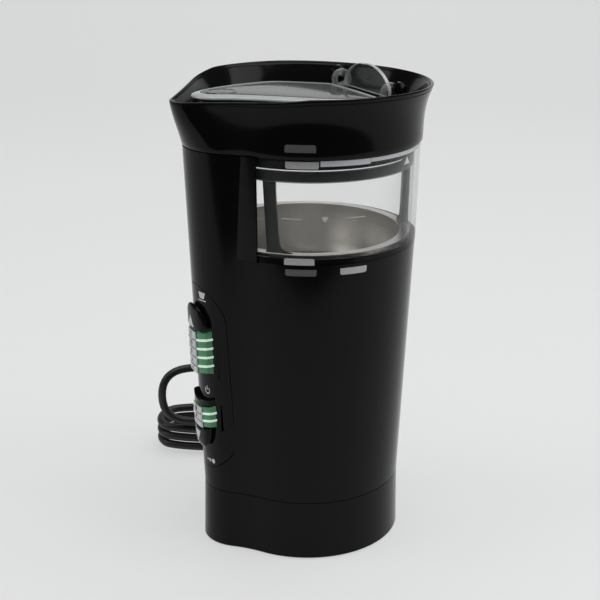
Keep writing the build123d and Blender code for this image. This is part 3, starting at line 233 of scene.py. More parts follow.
def gloss_plastic(name, dark, light, rough):
    """Polished ABS: near-black with faint flow drifts, handling haze and specks of dust in the gloss."""
    material, shader, place = new_finish(name, IOR=1.46, Specular_IOR_Level=0.14)
    drift = noise(place, 14, 3)
    haze = noise(stretched(place, 1, 1, 0.35), 55, 4, 0.6)
    speck = noise(place, 1500, 1) > 0.77
    colour = mixed(drift, (*dark, 1), (*light, 1))
    mixed(speck * 0.25, colour, (0.05, 0.05, 0.05, 1)).into(shader, "Base Color")
    (haze * 0.10 + speck * 0.12 + (rough - 0.04)).into(shader, "Roughness")
    bumped(shader, drift * 0.6 + haze * 0.1, 1.0, 0.00012)
    return material


abs_gloss = gloss_plastic("gloss_abs", (0.0035, 0.0035, 0.0038), (0.0060, 0.0060, 0.0063), 0.13)
dress(abs_gloss, "housing", "base_tray", "panel_frame", "bowl_skirt")
abs_satin = plastic("satin_abs", (0.010, 0.010, 0.011), (0.018, 0.018, 0.019), 0.40, 700, 0.00003)
dress(abs_satin, "bowl_seat", "tact_switches", "interlock_switch", "interlock_rod", "cooling_fan",
      "drive_coupling", "driven_coupling")
rubber = plastic("foot_rubber", (0.018, 0.018, 0.018), (0.034, 0.033, 0.032), 0.72, 420, 0.00010)
dress(rubber, "rubber_feet", "motor_dampers")

# --- Motor and drive -------------------------------------------------------
# A universal motor on two die-cast brackets: a stack of punched steel rings
# with wound copper coils, a wound armature with its commutator, brushes in
# brass boxes, and a shaft that drives the blade's spindle through dogs.


def metal(name, colour, tint, rough, streaks, depth):
    """Bare metal whose colour, polish and tool marks follow streaks along the given directions."""
    material, shader, place = new_finish(name, Metallic=1.0)
    lines = noise(stretched(place, *streaks), 1, 4, 0.6)
    cloud = noise(place, 40, 3)
    mixed(cloud, (*colour, 1), (*tint, 1)).into(shader, "Base Color")
    (lines * 0.16 + cloud * 0.08 + (rough - 0.12)).into(shader, "Roughness")
    bumped(shader, lines, 0.6, depth)
    return material


dress(metal("turned_steel", (0.60, 0.60, 0.61), (0.52, 0.52, 0.53), 0.28, (300, 300, 2500), 0.00002),
      "spindle", "motor_shaft", "motor_bolts", "base_screws", "blade_nut", "cover_pins")
dress(metal("blade_steel", (0.66, 0.66, 0.67), (0.58, 0.57, 0.56), 0.22, (180, 2600, 400), 0.00003), "blade")
dress(metal("spring_wire", (0.48, 0.48, 0.50), (0.40, 0.40, 0.42), 0.30, (1500, 1500, 1500), 0.00002),
      "interlock_spring", "brush_springs")
dress(metal("turned_brass", (0.71, 0.50, 0.20), (0.60, 0.40, 0.15), 0.30, (300, 300, 2600), 0.00002),
      "lower_bearing", "upper_bearing", "brush_holders", "spindle_bush", "plug_blades")
dress(metal("cast_zinc", (0.46, 0.47, 0.48), (0.38, 0.39, 0.40), 0.50, (900, 900, 900), 0.00008),
      "lower_bracket", "upper_bracket")
core, shader, place = new_finish("core_laminations", Metallic=0.9)
sheets = place.feed(
    "TexWave", {"wave_type": "BANDS", "bands_direction": "Z"},
    {"Vector": place, "Scale": 320, "Distortion": 0.3}, 1)
mixed(sheets, (0.16, 0.16, 0.17, 1), (0.34, 0.34, 0.35, 1)).into(shader, "Base Color")
(sheets * 0.2 + noise(place, 60, 3) * 0.2 + 0.3).into(shader, "Roughness")
bumped(shader, sheets, 1.0, 0.0001)
dress(core, "stator_core", "armature_core")
winding, shader, place = new_finish("enamelled_copper", Metallic=0.7, Coat_Weight=0.4)
strands = place.feed(
    "TexWave", {"wave_type": "RINGS", "rings_direction": "Z"},
    {"Vector": place, "Scale": 420, "Distortion": 1.5, "Detail Scale": 2}, 1)
mixed(strands, (0.20, 0.06, 0.02, 1), (0.55, 0.20, 0.08, 1)).into(shader, "Base Color")
(strands * 0.15 + 0.32).into(shader, "Roughness")
bumped(shader, strands, 1.0, 0.0002)
dress(winding, "field_coils", "armature_winding")
segments, shader, place = new_finish("commutator_copper", Metallic=0.95)
bars = place.feed("TexGradient", {"gradient_type": "RADIAL"}, {"Vector": place}, 1) * 24
grooves = bars.sum("FRACT", bars) < 0.14
mixed(grooves, (0.52, 0.26, 0.13, 1), (0.05, 0.03, 0.02, 1)).into(shader, "Base Color")
(grooves * 0.4 + noise(place, 300, 2) * 0.2 + 0.2).into(shader, "Roughness")
dress(segments, "commutator")
dress(plastic("pressed_carbon", (0.020, 0.020, 0.021), (0.045, 0.044, 0.043), 0.55, 1600, 0.00005),
      "carbon_brushes")
dress(plastic("felt_seal", (0.16, 0.16, 0.155), (0.24, 0.235, 0.23), 0.85, 900, 0.0002), "bowl_seal")
board, shader, place = new_finish("circuit_board", Roughness=0.4)
tracks = place.feed(
    "TexBrick", {"offset": 0.5}, {"Vector": stretched(place, 1, 0, 1), "Scale": 260, "Mortar Size": 0.05}, 1)
mixed(tracks, (0.010, 0.085, 0.030, 1), (0.035, 0.16, 0.06, 1)).into(shader, "Base Color")
(noise(place, 500, 2) * 0.15 + 0.3).into(shader, "Roughness")
bumped(shader, tracks, 0.5, 0.00005)
dress(board, "control_board")

# --- Steel cup -------------------------------------------------------------
# The grinding cup, deep drawn from stainless sheet and spun smooth, with its
# flange trapped on the bowl's ring. A film of ground coffee warms its side.
cup_finish, shader, place = new_finish("spun_stainless", Metallic=1.0, Anisotropic=0.3)
rings = noise(stretched(place, 6, 6, 1), 340, 4, 0.65)
far_out = place.feed("VectorMath", {"operation": "LENGTH"}, {0: stretched(place, 1, 1, 0)}, 1)
turned = far_out.feed("TexNoise", {"noise_dimensions": "1D"}, {"W": far_out, "Scale": 1400, "Detail": 3})
dust = noise(place, 60, 5, 0.7)
stain = dust.feed("MapRange", {}, {"Value": dust, "From Min": 0.55, "From Max": 0.80})
grit = noise(place, 900, 3, 0.6)
grains = (grit > 0.66) * stain
steel_colour = mixed(noise(place, 18, 3), (0.80, 0.79, 0.77, 1), (0.88, 0.86, 0.82, 1))
warmed = mixed(stain * 0.4, steel_colour, (0.72, 0.60, 0.42, 1))
mixed(grains * 0.8, warmed, (0.10, 0.055, 0.03, 1)).into(shader, "Base Color")
(turned * 0.08 + stain * 0.10 + grains * 0.3 + 0.24).into(shader, "Roughness")
bumped(shader, turned, 0.5, 0.00003)
dress(cup_finish, "steel_cup")

# --- Clear bowl wall -------------------------------------------------------
# A clear moulded cylinder bonded to the black ring. What it shows of itself
# is its gloss, brighter where it turns away, and a faint grey in its edges.


def clear_plastic(name, tint, body, gloss, rough):
    """Clear plastic: see-through seen square on, and more mirror-like where it turns away from the eye."""
    material, shader, place = new_finish(name, IOR=1.5, Specular_IOR_Level=0.9)
    facing = place.feed("LayerWeight", {}, {"Blend": 0.5}, 1)
    haze = noise(place, 35, 3)
    mixed(haze, (*tint, 1), tuple(v * 0.86 for v in tint) + (1,)).into(shader, "Base Color")
    (haze * 0.04 + rough).into(shader, "Roughness")
    (facing * facing * facing * gloss + haze * 0.02 + body).into(shader, "Alpha")
    return material


clear_wall = clear_plastic("clear_styrene", (0.66, 0.68, 0.68), 0.02, 0.50, 0.03)
dress(clear_wall, "bowl_wall")

# --- Lid shell -------------------------------------------------------------
# The flared lid's outer shell in the body's gloss ABS. Its wall sweeps out
# from the round bowl to a wide rim, and draws forward into a pouring beak,
# where the rim falls. A fine parting groove follows the beak.


def ring_skin(name, rings):
    """A skin through rings of points, each extruded from the one before. The last may meet the first."""
    count = len(rings[0])
    bpy.ops.object.select_all(action="DESELECT")
    bpy.ops.mesh.primitive_circle_add(vertices=count, radius=1)
    skin = bpy.context.object
    skin.name = name
    bpy.ops.object.mode_set(mode="EDIT")
    bpy.ops.mesh.select_all(action="SELECT")
    for level in rings[1:]:
        bpy.ops.mesh.extrude_region_move(TRANSFORM_OT_translate={"value": (0, 0, 1)})
    bpy.ops.object.mode_set(mode="OBJECT")
    for vertex in skin.data.vertices:
        turn = round(atan2(vertex.co.y, vertex.co.x) / (2 * pi) * count) % count
        vertex.co = rings[round(vertex.co.z)][turn]
    bpy.ops.object.mode_set(mode="EDIT")
    bpy.ops.mesh.select_all(action="SELECT")
    bpy.ops.mesh.remove_doubles(threshold=1e-6)
    bpy.ops.mesh.normals_make_consistent(inside=False)
    bpy.ops.object.mode_set(mode="OBJECT")
    bpy.ops.object.shade_smooth_by_angle(angle=radians(40))
    return skin


def capped(rings):
    """These rings with a point at each end that closes them."""
    count = len(rings[0])
    first, last = ([sum(ring, Vector()) / count] * count for ring in (rings[0], rings[-1]))
    return [first] + rings + [last]


def joined(*pieces):
    """Makes one piece of several."""
    bpy.ops.object.select_all(action="DESELECT")
    for piece in pieces:
        piece.select_set(True)
    bpy.context.view_layer.objects.active = pieces[0]
    bpy.ops.object.join()
    return pieces[0]


def fit(piece, finish, slot, body, *stands_for):
    """Gives a finished piece its material and its body, and hides the CAD nodes that it stands for. The slot
    is not used.
    """
    if finish:
        piece.data.materials.clear()
        piece.data.materials.append(finish)
    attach(piece, body)
    if stands_for:
        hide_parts(*stands_for)


def eased(corners):
    """A closed profile from (across, up, radius) corners, each rounded with a small curve."""
    profile = []
    for index, (x, y, radius) in enumerate(corners):
        here = Vector((x, y))
        if not radius:
            profile.append(here)
            continue
        before = Vector(corners[index - 1][:2]) - here
        after = Vector(corners[(index + 1) % len(corners)][:2]) - here
        first = here + before.normalized() * min(radius, before.length * 0.49)
        last = here + after.normalized() * min(radius, after.length * 0.49)
        for share in (0, 0.25, 0.5, 0.75, 1):
            profile.append(first * (1 - share) ** 2 + here * 2 * share * (1 - share) + last * share**2)
    return profile


def plan_point(sizes, turn):
    """One of 112 points round an outline of barrel, two hollow flanks and nose, in millimetres."""
    barrel, nose, nose_out, flank = sizes
    middle_y = ((nose + flank) ** 2 - (barrel + flank) ** 2 - nose_out**2) / (2 * nose_out)
    middle_x = sqrt((barrel + flank) ** 2 - middle_y**2)
    back_end = atan2(middle_y, middle_x)
    front_end = atan2(middle_y + nose_out, middle_x)
    if turn < 66:
        angle = back_end + (pi - 2 * back_end) * turn / 66
        return barrel * cos(angle), barrel * sin(angle)
    if turn < 77:
        angle = -back_end + (back_end - front_end) * (turn - 66) / 11
        return -middle_x + flank * cos(angle), middle_y + flank * sin(angle)
    if turn < 101:
        angle = pi - front_end + (pi + 2 * front_end) * (turn - 77) / 24
        return nose * cos(angle), nose * sin(angle) - nose_out
    angle = pi + front_end + (back_end - front_end) * (turn - 101) / 11
    return middle_x + flank * cos(angle), middle_y + flank * sin(angle)


seam_z, flare_height = 193.3, 26.7
seam_barrel, seam_flank, seam_nose, seam_nose_out = 51.52, 52.88, 24.62, 36.0
rim_spread, beak_narrowing, beak_lead = 4.8, 15.4, 22.5


def lid_point(turn, z, inset):
    """A point of the lid's flared wall at a height, moved inwards. The beak's sides straighten upwards."""
    t = max(0, (z - seam_z) / flare_height)
    flare = 0.74825 * t**2 - 2.42907 * t**3 + 5.65786 * t**4 - 2.97703 * t**5
    lead = sin(pi / 2 * min(1, t) ** 1.15)
    barrel = seam_barrel + rim_spread * flare
    flank = seam_flank + 400 * lead + 1500 * lead**4
    nose, nose_out = seam_nose - beak_narrowing * lead, seam_nose_out + beak_lead * lead
    return plan_point((barrel - inset, max(0.5, nose - inset), nose_out, flank + inset), turn)


rim_z, beak_start, beak_slope, back_start, back_slope = 219.3, 25, 7.8, 10, 46


def rim_height(turn, inset):
    """Height of the rim, which falls along the beak and a little towards the back."""
    z = rim_z
    for _ in range(8):
        y = lid_point(turn, z, inset)[1]
        z = rim_z - max(0, -y - beak_start) / beak_slope - max(0, y - back_start) / back_slope
    return z


plan_points, level_z, profile_top = 112, 210, 220


def lid_rings(profile):
    """Rings for a profile of (inset, height), whose upper part sinks with the falling rim."""
    rings = []
    for inset, z in profile:
        ring = []
        for turn in range(plan_points):
            squeeze = (rim_height(turn, inset) - level_z) / (profile_top - level_z)
            up = z if z < level_z else level_z + (z - level_z) * squeeze
            x, y = lid_point(turn, up, inset)
            ring.append(Vector((x, y, up)) / 1000)
        rings.append(ring)
    return rings


outer_heights = (193.9, 196, 198, 200, 202, 204, 206, 208, 210, 211.5, 213, 214.5, 216, 217.2, 217.5)
groove = [(0.22, 217.65), (0.22, 217.85), (0.0, 218.0), (0.0, 218.7)]
lip = [(0.06, 219.4), (0.25, 219.75), (0.6, 219.95), (0.95, 220.0), (1.3, 219.93), (1.55, 219.7)]
lip += [(1.65, 219.3), (1.65, 218.6)]
shell_profile = [(0.35, seam_z)] + [(0.0, z) for z in outer_heights] + groove + lip
shell_profile += [(1.6, z) for z in (217.7, 215, 212, 209, 206, 203, 200, 195.3)]
shell_rings = lid_rings(shell_profile)
skirt_hole = 0.04775
for level in (0.1953, 0.1933):
    around = []
    for point in shell_rings[0]:
        way = Vector((point.x, point.y, 0)).normalized() * skirt_hole
        around.append(Vector((way.x, way.y, level)))
    shell_rings.append(around)
shell_rings.append(shell_rings[0])
lid_gloss = gloss_plastic("gloss_lid", (0.0035, 0.0035, 0.0038), (0.0060, 0.0060, 0.0063), 0.12)
fit(ring_skin("lid_outer_shell", shell_rings), lid_gloss, "black_shell", "lid", "lid_shell")

# --- Lid insert ------------------------------------------------------------
# The inner moulding snaps into the shell. From the rim it falls to a deck,
# from which a tapered collar rises round the pouring mouth. Its skirt plugs
# the bowl, two brackets carry the cover, and two pips mark where it seats.


mouth_discs = ((0, -46.5, 8), (0, -2, 27), (23, 23.5, 0.5), (-23, 23.5, 0.5))
mouth_y = -10


def mouth_point(angle, grow, z):
    """A point of the mouth's outline, drawn tight round four discs, in a direction from inside it."""
    reach = 1000.0
    for step in range(180):
        way = step * pi / 90
        open_by = cos(way - angle)
        if open_by > 0.05:
            support = max(x * cos(way) + (y - mouth_y) * sin(way) + r for x, y, r in mouth_discs)
            reach = min(reach, (support + grow) / open_by)
    return Vector((reach * cos(angle), reach * sin(angle) + mouth_y, z)) / 1000


def collar_height(y):
    """The collar is lower towards the hinge."""
    return 214.5 - 4.9 * min(1, max(0, (y + 45) / 69)) ** 1.4


insert_profile = [(1.75, 217.0), (1.76, 218.7), (1.9, 219.05), (2.15, 219.1), (2.35, 218.8), (2.45, 218.2)]
insert_profile += [(2.6, 217), (2.9, 215), (3.2, 213), (3.5, 211), (3.8, 209.2)]
insert_profile += [(4.2, 207.0), (5.0, 205.9), (6.2, 205.2), (7.6, 205.0)]
insert_rings = lid_rings(insert_profile)
bearings = [atan2(p.y - mouth_y / 1000, p.x) for p in insert_rings[-1]]
mouth_steps = [(2.3, None), (1.6, 0.6), (1.6, -0.5), (1.35, -0.15), (0.8, 0.0), (0.25, -0.15), (0.0, -0.5)]
for grow, step in mouth_steps:
    ring = []
    for angle in bearings:
        at = mouth_point(angle, grow, 205.0)
        top = collar_height(at.y * 1000)
        at.z = 0.205 if step is None else (0.2056 if step > 0 else (top + step) / 1000)
        ring.append(at)
    insert_rings.append(ring)
insert_rings.append([mouth_point(angle, 0, 203) for angle in bearings])
insert_rings += lid_rings([(1.75, 203.0)]) + [insert_rings[0]]
insert = ring_skin("lid_insert", insert_rings)
skirt_profile = eased([(47.5, 188, 0.5), (47.5, 203, 0), (45.3, 203, 0), (45.3, 188, 0.5)])


def lathed(profile, count=96):
    """Rings of a closed profile of (radius, height) turned about the upright axis, in millimetres."""
    rings = []
    for r, z in profile:
        turns = [2 * pi * k / count for k in range(count)]
        rings.append([Vector((r * cos(turn), r * sin(turn), z)) / 1000 for turn in turns])
    return rings + [rings[0]]


skirt = ring_skin("skirt", lathed(skirt_profile))
bracket_pair = []
hinge_y, hinge_z, bracket_r, bracket_tall = 30, 216, 3.5, 11.2
plate = [(hinge_y + bracket_r * cos(pi * k / 14), hinge_z + bracket_r * sin(pi * k / 14)) for k in range(15)]
plate += [(hinge_y - bracket_r, hinge_z - bracket_tall * k / 6) for k in range(1, 7)]
plate += [(hinge_y - bracket_r + 7 * k / 5, 204.6) for k in range(1, 5)]
plate += [(hinge_y + bracket_r, hinge_z - bracket_tall * (6 - k) / 6) for k in range(3)]
plate_middle = Vector((30.0, 211.0))
for side in (1, -1):
    rings = []
    for x, keep in ((26.3, 0), (26.3, 0.952), (26.6, 1), (28.4, 1), (28.7, 0.952), (28.7, 0)):
        outline = [plate_middle + (Vector(corner) - plate_middle) * keep for corner in plate]
        rings.append([Vector((side * x, *at)) / 1000 for at in outline])
    bracket_pair.append(ring_skin("bracket", rings))
pips = []
for bearing in (118, 52):
    pip_profile = ((2.1, 0), (2.0, 0.25), (1.5, 0.5), (0.8, 0.62), (0, 0.65))
    pip = ring_skin("pip", lathed(pip_profile, 24)[:-1])
    way = radians(bearing)
    wall_at = Vector((51.2 * cos(way), 51.2 * sin(way), 213)) / 1000
    lean = Vector((-cos(way), -sin(way), 0.55)).to_track_quat("Z", "Y").to_matrix().to_4x4()
    pip.data.transform(Matrix.Translation(wall_at) @ lean)
    pips.append(pip)
insert = joined(insert, skirt, *bracket_pair, *pips)
fit(insert, lid_gloss, "black_shell", "lid", "lid_funnel")

# --- Pouring cover ---------------------------------------------------------
# A clear moulded flap over the mouth, tinted grey, hinged at the back on two
# eyes. Its top is a low dome with a finger dimple at the beak, and a thumb tab
# stands by the hinge. Its sloped edge and the tab's bead are painted pale grey
# and half opaque: a painted highlight for the light that they catch.
cover_levels = [(-1.3, 1.4), (-1.5, 1.75), (-1.9, 1.8), (-2.4, 2.0), (-5, 2.2), (-10, 2.35), (-16, 2.4)]
cover_turns = [2 * pi * k / 112 for k in range(112)]
cover_crown, crown_sheet = 2.4, 1.3


def cover_ring(grow, rise):
    """A ring round the mouth's outline, at a distance from it and at a rise above the collar."""
    ring = []
    for angle in cover_turns:
        at = mouth_point(angle, grow, 0)
        at.z = (collar_height(at.y * 1000) + rise) / 1000
        ring.append(at)
    return ring


cover_rings = [cover_ring(grow, rise) for grow, rise in cover_levels]
crown_z = collar_height(mouth_y) + cover_crown
for z in (crown_z, crown_z - crown_sheet):
    cover_rings.append([Vector((0, mouth_y, z)) / 1000] * len(cover_turns))
inside_levels = [(-16, 1.3), (-10, 1.25), (-5, 1.15), (-2.4, 1.05), (-1.5, 0.95)]
cover_rings += [cover_ring(grow, rise) for grow, rise in inside_levels]
cover_rings.append(cover_rings[0])
cover = ring_skin("cover_top", cover_rings)
slope_levels = [(0.9, 0.35), (2.2, 0.35), (2.4, 0.6), (2.3, 1.1), (1.9, 1.45), (0.4, 1.95), (-1.0, 2.25)]
slope_levels += [(-1.35, 2.1), (-1.3, 1.0), (0.9, 0.35)]
cover_slope = ring_skin("cover_slope", [cover_ring(grow, rise) for grow, rise in slope_levels])
dimple_profile = [(7.3, -0.5), (7.1, 0.0), (6.7, 0.32), (6.2, 0.36), (5.8, 0.2), (5.0, -0.25)]
dimple_profile += [(3.4, -0.65), (1.6, -0.85), (0, -0.9)]
dimple = ring_skin("dimple", lathed(dimple_profile, 48)[:-1])
dimple.data.transform(Matrix.Translation((0, -0.0435, 0.2165)) @ Matrix.Diagonal((0.95, 1, 1, 1)))
eyes = []
for side in (-22.2, 22.2):
    eye_profile = eased([(4.8, -1.5, 0.8), (4.8, 1.5, 0.8), (2.7, 1.5, 0.5), (2.7, -1.5, 0.5)])
    eye = ring_skin("eye", lathed(eye_profile, 40))
    eye_at = Vector((side, 28.8, 213.8)) / 1000
    eye.data.transform(Matrix.Translation(eye_at) @ Matrix.Rotation(pi / 2, 4, "Y"))
    eyes.append(eye)
tab_half, tab_foot, tab_tall = 20.8, 211.4, 12.6
tab_outline = [(tab_half * cos(pi * k / 40), tab_tall * sin(pi * k / 40)) for k in range(41)]
tab_outline += [(-tab_half + 2 * tab_half * k / 15, 0) for k in range(1, 16)]


def tab_rings(profile):
    """Rings of the tab's outline, each at a place from front to back and drawn in to a share of its size."""
    rings = []
    for y, keep in profile:
        rings.append([Vector((x * keep, y, tab_foot + up * keep)) / 1000 for x, up in tab_outline])
    return rings


tab_profile = [(29.3, 0), (29.3, 0.96), (29.3, 0.98), (30.7, 0.98), (30.7, 0.96), (30.7, 0)]
tab = ring_skin("tab", tab_rings(tab_profile))
bead_profile = [(29.1, 0.975), (29.2, 0.992), (29.6, 1), (30.4, 1), (30.8, 0.992), (30.9, 0.975)]
tab_bead = ring_skin("tab_bead", tab_rings(bead_profile + [(30.0, 0.97), (29.1, 0.975)]))
arms = []
for side in (-1, 1):
    arm_profile = [(side * 21.4, 208.6), (side * 24.4, 208.6), (side * 24.4, 210.4), (side * 21.4, 210.4)]
    bar = []
    for y, up in ((22.5, 0), (25, 0.0), (27.5, 0.5), (29.5, 1.6), (31, 2.0)):
        bar.append([Vector((x, y, z + up)) / 1000 for x, z in arm_profile])
    arms.append(ring_skin("arm", capped(bar)))
cover_finish = clear_plastic("grey_clear_styrene", (0.11, 0.113, 0.118), 0.30, 0.55, 0.05)
clear_finish = clear_plastic("clear_tab_styrene", (0.40, 0.42, 0.43), 0.02, 0.07, 0.04)
eye_finish = clear_plastic("clear_hinge_styrene", (0.42, 0.43, 0.42), 0.22, 0.75, 0.06)
# Painted highlight: the cover's sloped edge and the tab's bead are pale grey and half opaque, standing in for
# the light they catch from the white paper.
painted_highlight_edge = clear_plastic("styrene_painted_highlight_edge", (0.62, 0.64, 0.65), 0.62, 0.30, 0.10)
cover_parts = ((cover_finish, (cover, dimple)), (clear_finish, (tab,)), (eye_finish, eyes + arms),
               (painted_highlight_edge, (cover_slope, tab_bead)))
for finish, pieces in cover_parts:
    for piece in pieces:
        piece.data.materials.append(finish)
whole_cover = joined(cover, dimple, cover_slope, tab, tab_bead, *eyes, *arms)
fit(whole_cover, None, "smoked_cover", "cover", "pour_cover")

# --- Printed marks on the walls ----------------------------------------------
# Pad-printed silver patches show where the lid, bowl and housing line up, with
# a white band and arrow for the turn that locks them. A broken white line on
# the clear wall marks the most that the bowl may hold.


def grid_patch(name, across, up, lay):
    """A grid whose every vertex is laid on a surface: lay takes two shares from -1 to 1."""
    bpy.ops.object.select_all(action="DESELECT")
    bpy.ops.mesh.primitive_grid_add(x_subdivisions=across, y_subdivisions=up, size=2)
    patch = bpy.context.object
    patch.name = name
    for vertex in patch.data.vertices:
        vertex.co = lay(vertex.co.x, vertex.co.y)
    return patch


def thickened(piece, thickness, offset=1.0):
    piece.modifiers.new("thickness", "SOLIDIFY").thickness = thickness
    piece.modifiers["thickness"].offset = offset
    bpy.context.view_layer.objects.active = piece
    bpy.ops.object.modifier_apply(modifier="thickness")
    bpy.ops.object.select_all(action="DESELECT")
    piece.select_set(True)
    bpy.ops.object.shade_smooth_by_angle(angle=radians(40))
    return piece


ink_lift, ink_sheet = 0.04, 0.00008


def wall_patch(name, radius, bearing, height, width, tall, rounded):
    """A printed patch on a round wall, with its upper (1) or lower (-1) corners rounded."""

    def lay(a, b):
        x, y = a * width / 2, b * tall / 2
        corner = 1.0
        if rounded and y * rounded > tall / 2 - corner and abs(x) > width / 2 - corner:
            out = Vector((abs(x) - width / 2 + corner, y * rounded - tall / 2 + corner))
            if out.length > corner:
                out = out.normalized() * corner
            x = (width / 2 - corner + out.x) * (1 if x > 0 else -1)
            y = (tall / 2 - corner + out.y) * rounded
        z = height + y
        r = radius(z) + ink_lift
        angle = radians(bearing) + x / r
        return Vector((r * cos(angle), r * sin(angle), z)) / 1000

    return thickened(grid_patch(name, 40, 10, lay), ink_sheet)


def print_finish(name, colour, dark):
    """Pad-printed ink: almost flat, with a fine screen of thin spots and a little sheen."""
    material, shader, place = new_finish(name, IOR=1.45)
    thin = noise(place, 420, 3, 0.6)
    wear = noise(place, 2400, 2)
    mixed((thin > 0.62) * 0.35 + wear * 0.2, (*colour, 1), (*dark, 1)).into(shader, "Base Color")
    (thin * 0.2 + 0.32).into(shader, "Roughness")
    bumped(shader, wear, 0.4, 0.00001)
    return material


barrel_foot, draft = 29.3, 0.0428


def clear_radius(z):
    return 49.6 + (z - 149.5) / 45.4


def housing_radius(z):
    return 44.4 + (z - barrel_foot) * draft


def lid_radius(z):
    return 51.56


def ring_radius(z):
    return 49.62


silver_ink = print_finish("silver_ink", (0.62, 0.62, 0.63), (0.50, 0.50, 0.51))
# Painted shade: the lid and housing marks are the same silver print as the other marks, painted dark grey
# because they face away from the light.
silver_ink_in_painted_shade = print_finish("silver_ink_painted_shade", (0.15, 0.145, 0.145), (0.10, 0.10, 0.10))
white_ink = print_finish("white_ink", (0.82, 0.83, 0.86), (0.72, 0.73, 0.76))
# The lid and housing marks take the dark grey silver ink, a painted shade.
for name, radius, bearing, height, width, tall, rounded, ink, body in (
    ("lid_mark", lid_radius, 327.8, 198.2, 13.2, 3.3, 1, silver_ink_in_painted_shade, "lid"),
    ("bowl_upper_mark", clear_radius, 328.6, 190.9, 14.2, 3.1, -1, silver_ink, "bowl"),
    ("bowl_lower_mark", ring_radius, 327.4, 148.35, 13.2, 3.0, 1, silver_ink, "bowl"),
    ("housing_mark", housing_radius, 328.2, 143.3, 13.6, 3.0, -1, silver_ink_in_painted_shade, "base"),
    ("release_mark", housing_radius, 355.6, 143.5, 12.6, 3.0, -1, silver_ink, "base"),
):
    fit(wall_patch(name, radius, bearing, height, width, tall, rounded), ink, "face_silver", body)
lock_band = [wall_patch("band", clear_radius, 350.2, 191.6, 22.6, 2.4, 0)]
lock_band.append(wall_patch("band", clear_radius, 27.6, 191.95, 43.0, 1.7, 0))
fill_line = [wall_patch("dash", clear_radius, 323.6, 167.5, 8.4, 0.35, 0)]
fill_line.append(wall_patch("dash", clear_radius, 356.2, 167.5, 8.0, 0.35, 0))


def triangle(radius, bearing, height, width, tall):
    """A small printed triangle on a round wall, pointing up where tall is above 0."""

    def lay(a, b):
        z = height + b * tall / 2
        r = radius(z)
        angle = radians(bearing) + a * (1 - b) / 2 * width / 2 / r
        return Vector(((r + ink_lift) * cos(angle), (r + ink_lift) * sin(angle), z)) / 1000

    return thickened(grid_patch("arrow", 6, 6, lay), ink_sheet)


fill_line.append(triangle(clear_radius, 340, 167.3, 3.4, -2.4))
lock_band.append(triangle(clear_radius, 29.5, 188.4, 4.6, 3.4))
fit(joined(*lock_band), white_ink, "face_silver", "bowl")
fit(joined(*fill_line), white_ink, "face_silver", "bowl")

# --- Wiper -----------------------------------------------------------------
# A moulded ring with three thin arms that turns inside the clear wall and
# sweeps the coffee down with their turned-out feet. It is dark smoky plastic,
# with thin lips along the ring's edges painted pale grey as a painted highlight.
smoky = plastic("smoky_wiper", (0.010, 0.011, 0.011), (0.019, 0.021, 0.020), 0.34, 500, 0.00003)
wiper_ring = eased([(47.7, 182.8, 0.5), (47.7, 187.6, 0.7), (46.9, 187.6, 0.3), (46.9, 185.4, 0),
                    (44.3, 185.4, 0.6), (44.3, 182.8, 0.6)])
wiper_parts = [ring_skin("wiper_ring", lathed(wiper_ring))]
lip = eased([(47.85, 182.5, 0.3), (47.85, 183.15, 0.3), (46.9, 183.1, 0.2), (46.9, 182.5, 0.2)])
upper_lip = eased([(47.85, 187.2, 0.2), (47.85, 187.65, 0.2), (47.1, 187.65, 0.1), (47.1, 187.2, 0.1)])
bright_lips = [ring_skin("lip", lathed(lip)), ring_skin("lip", lathed(upper_lip))]
arm_levels = [(184.5, 0, 3.0), (179.0, 0.2, 2.8), (170, 0.8, 2.75), (160, 1.6, 2.75), (155, 2.2, 2.9)]
arm_levels += [(152.9, 3.0, 3.4), (151.6, 4.6, 5.0), (150.9, 5.6, 6.0)]
arm_section = ((0, -1), (0.1, -0.6), (0.1, 0.6), (0, 1), (1.2, 1), (3.0, 0.75), (3.0, -0.75), (1.2, -1))
for top in (310.6, 70.6, 190.6):
    rings = []
    for z, sweep, half in arm_levels:
        section = []
        outer = min(47.0, clear_radius(z) - 2.6)
        for inset, side in arm_section:
            r, angle = outer - inset, radians(top + sweep) + side * half / 46
            section.append(Vector((r * cos(angle), r * sin(angle), z)) / 1000)
        rings.append(section)
    wiper_parts.append(ring_skin("wiper_arm", capped(rings)))
for piece in wiper_parts:
    piece.data.materials.append(smoky)
# Painted highlight: the lips get a pale grey, partly opaque finish standing in for light along the ring's
# upper and lower edges.
painted_highlight_lip_finish = clear_plastic("painted_highlight_lip", (0.30, 0.30, 0.27), 0.45, 0.5, 0.08)
for piece in bright_lips:
    piece.data.materials.append(painted_highlight_lip_finish)
fit(joined(*wiper_parts, *bright_lips), None, "black_fitting", "wiper", "wiper")

# --- Control scales --------------------------------------------------------
# Two raised light pipes of translucent green plastic on the control panel,
# one for the amount and one for the grind. Ribs divide each into its steps,
# and a silver-printed face down the middle carries plain numbers. The ribs are
# painted pale mint and glow faintly: a painted highlight for the light they
# catch from above.


column_r, column_y, panel_r = 17.5, -36.0, 20.5
scale_proud, rib_proud, face_proud, smile = 2.35, 2.25, 3.1, 0.24


def nose_point(s, z, proud):
    """A point in front of the control column: across by arc, height, and distance from its surface."""
    around = s / (panel_r + proud)
    reach = column_r + (z - barrel_foot) * draft + proud
    return Vector((reach * sin(around), column_y - reach * cos(around), z)) / 1000


def curved(s, z):
    """The height of a line across the panel, which rises towards its ends."""
    return z + smile * max(0, abs(s) - 2)


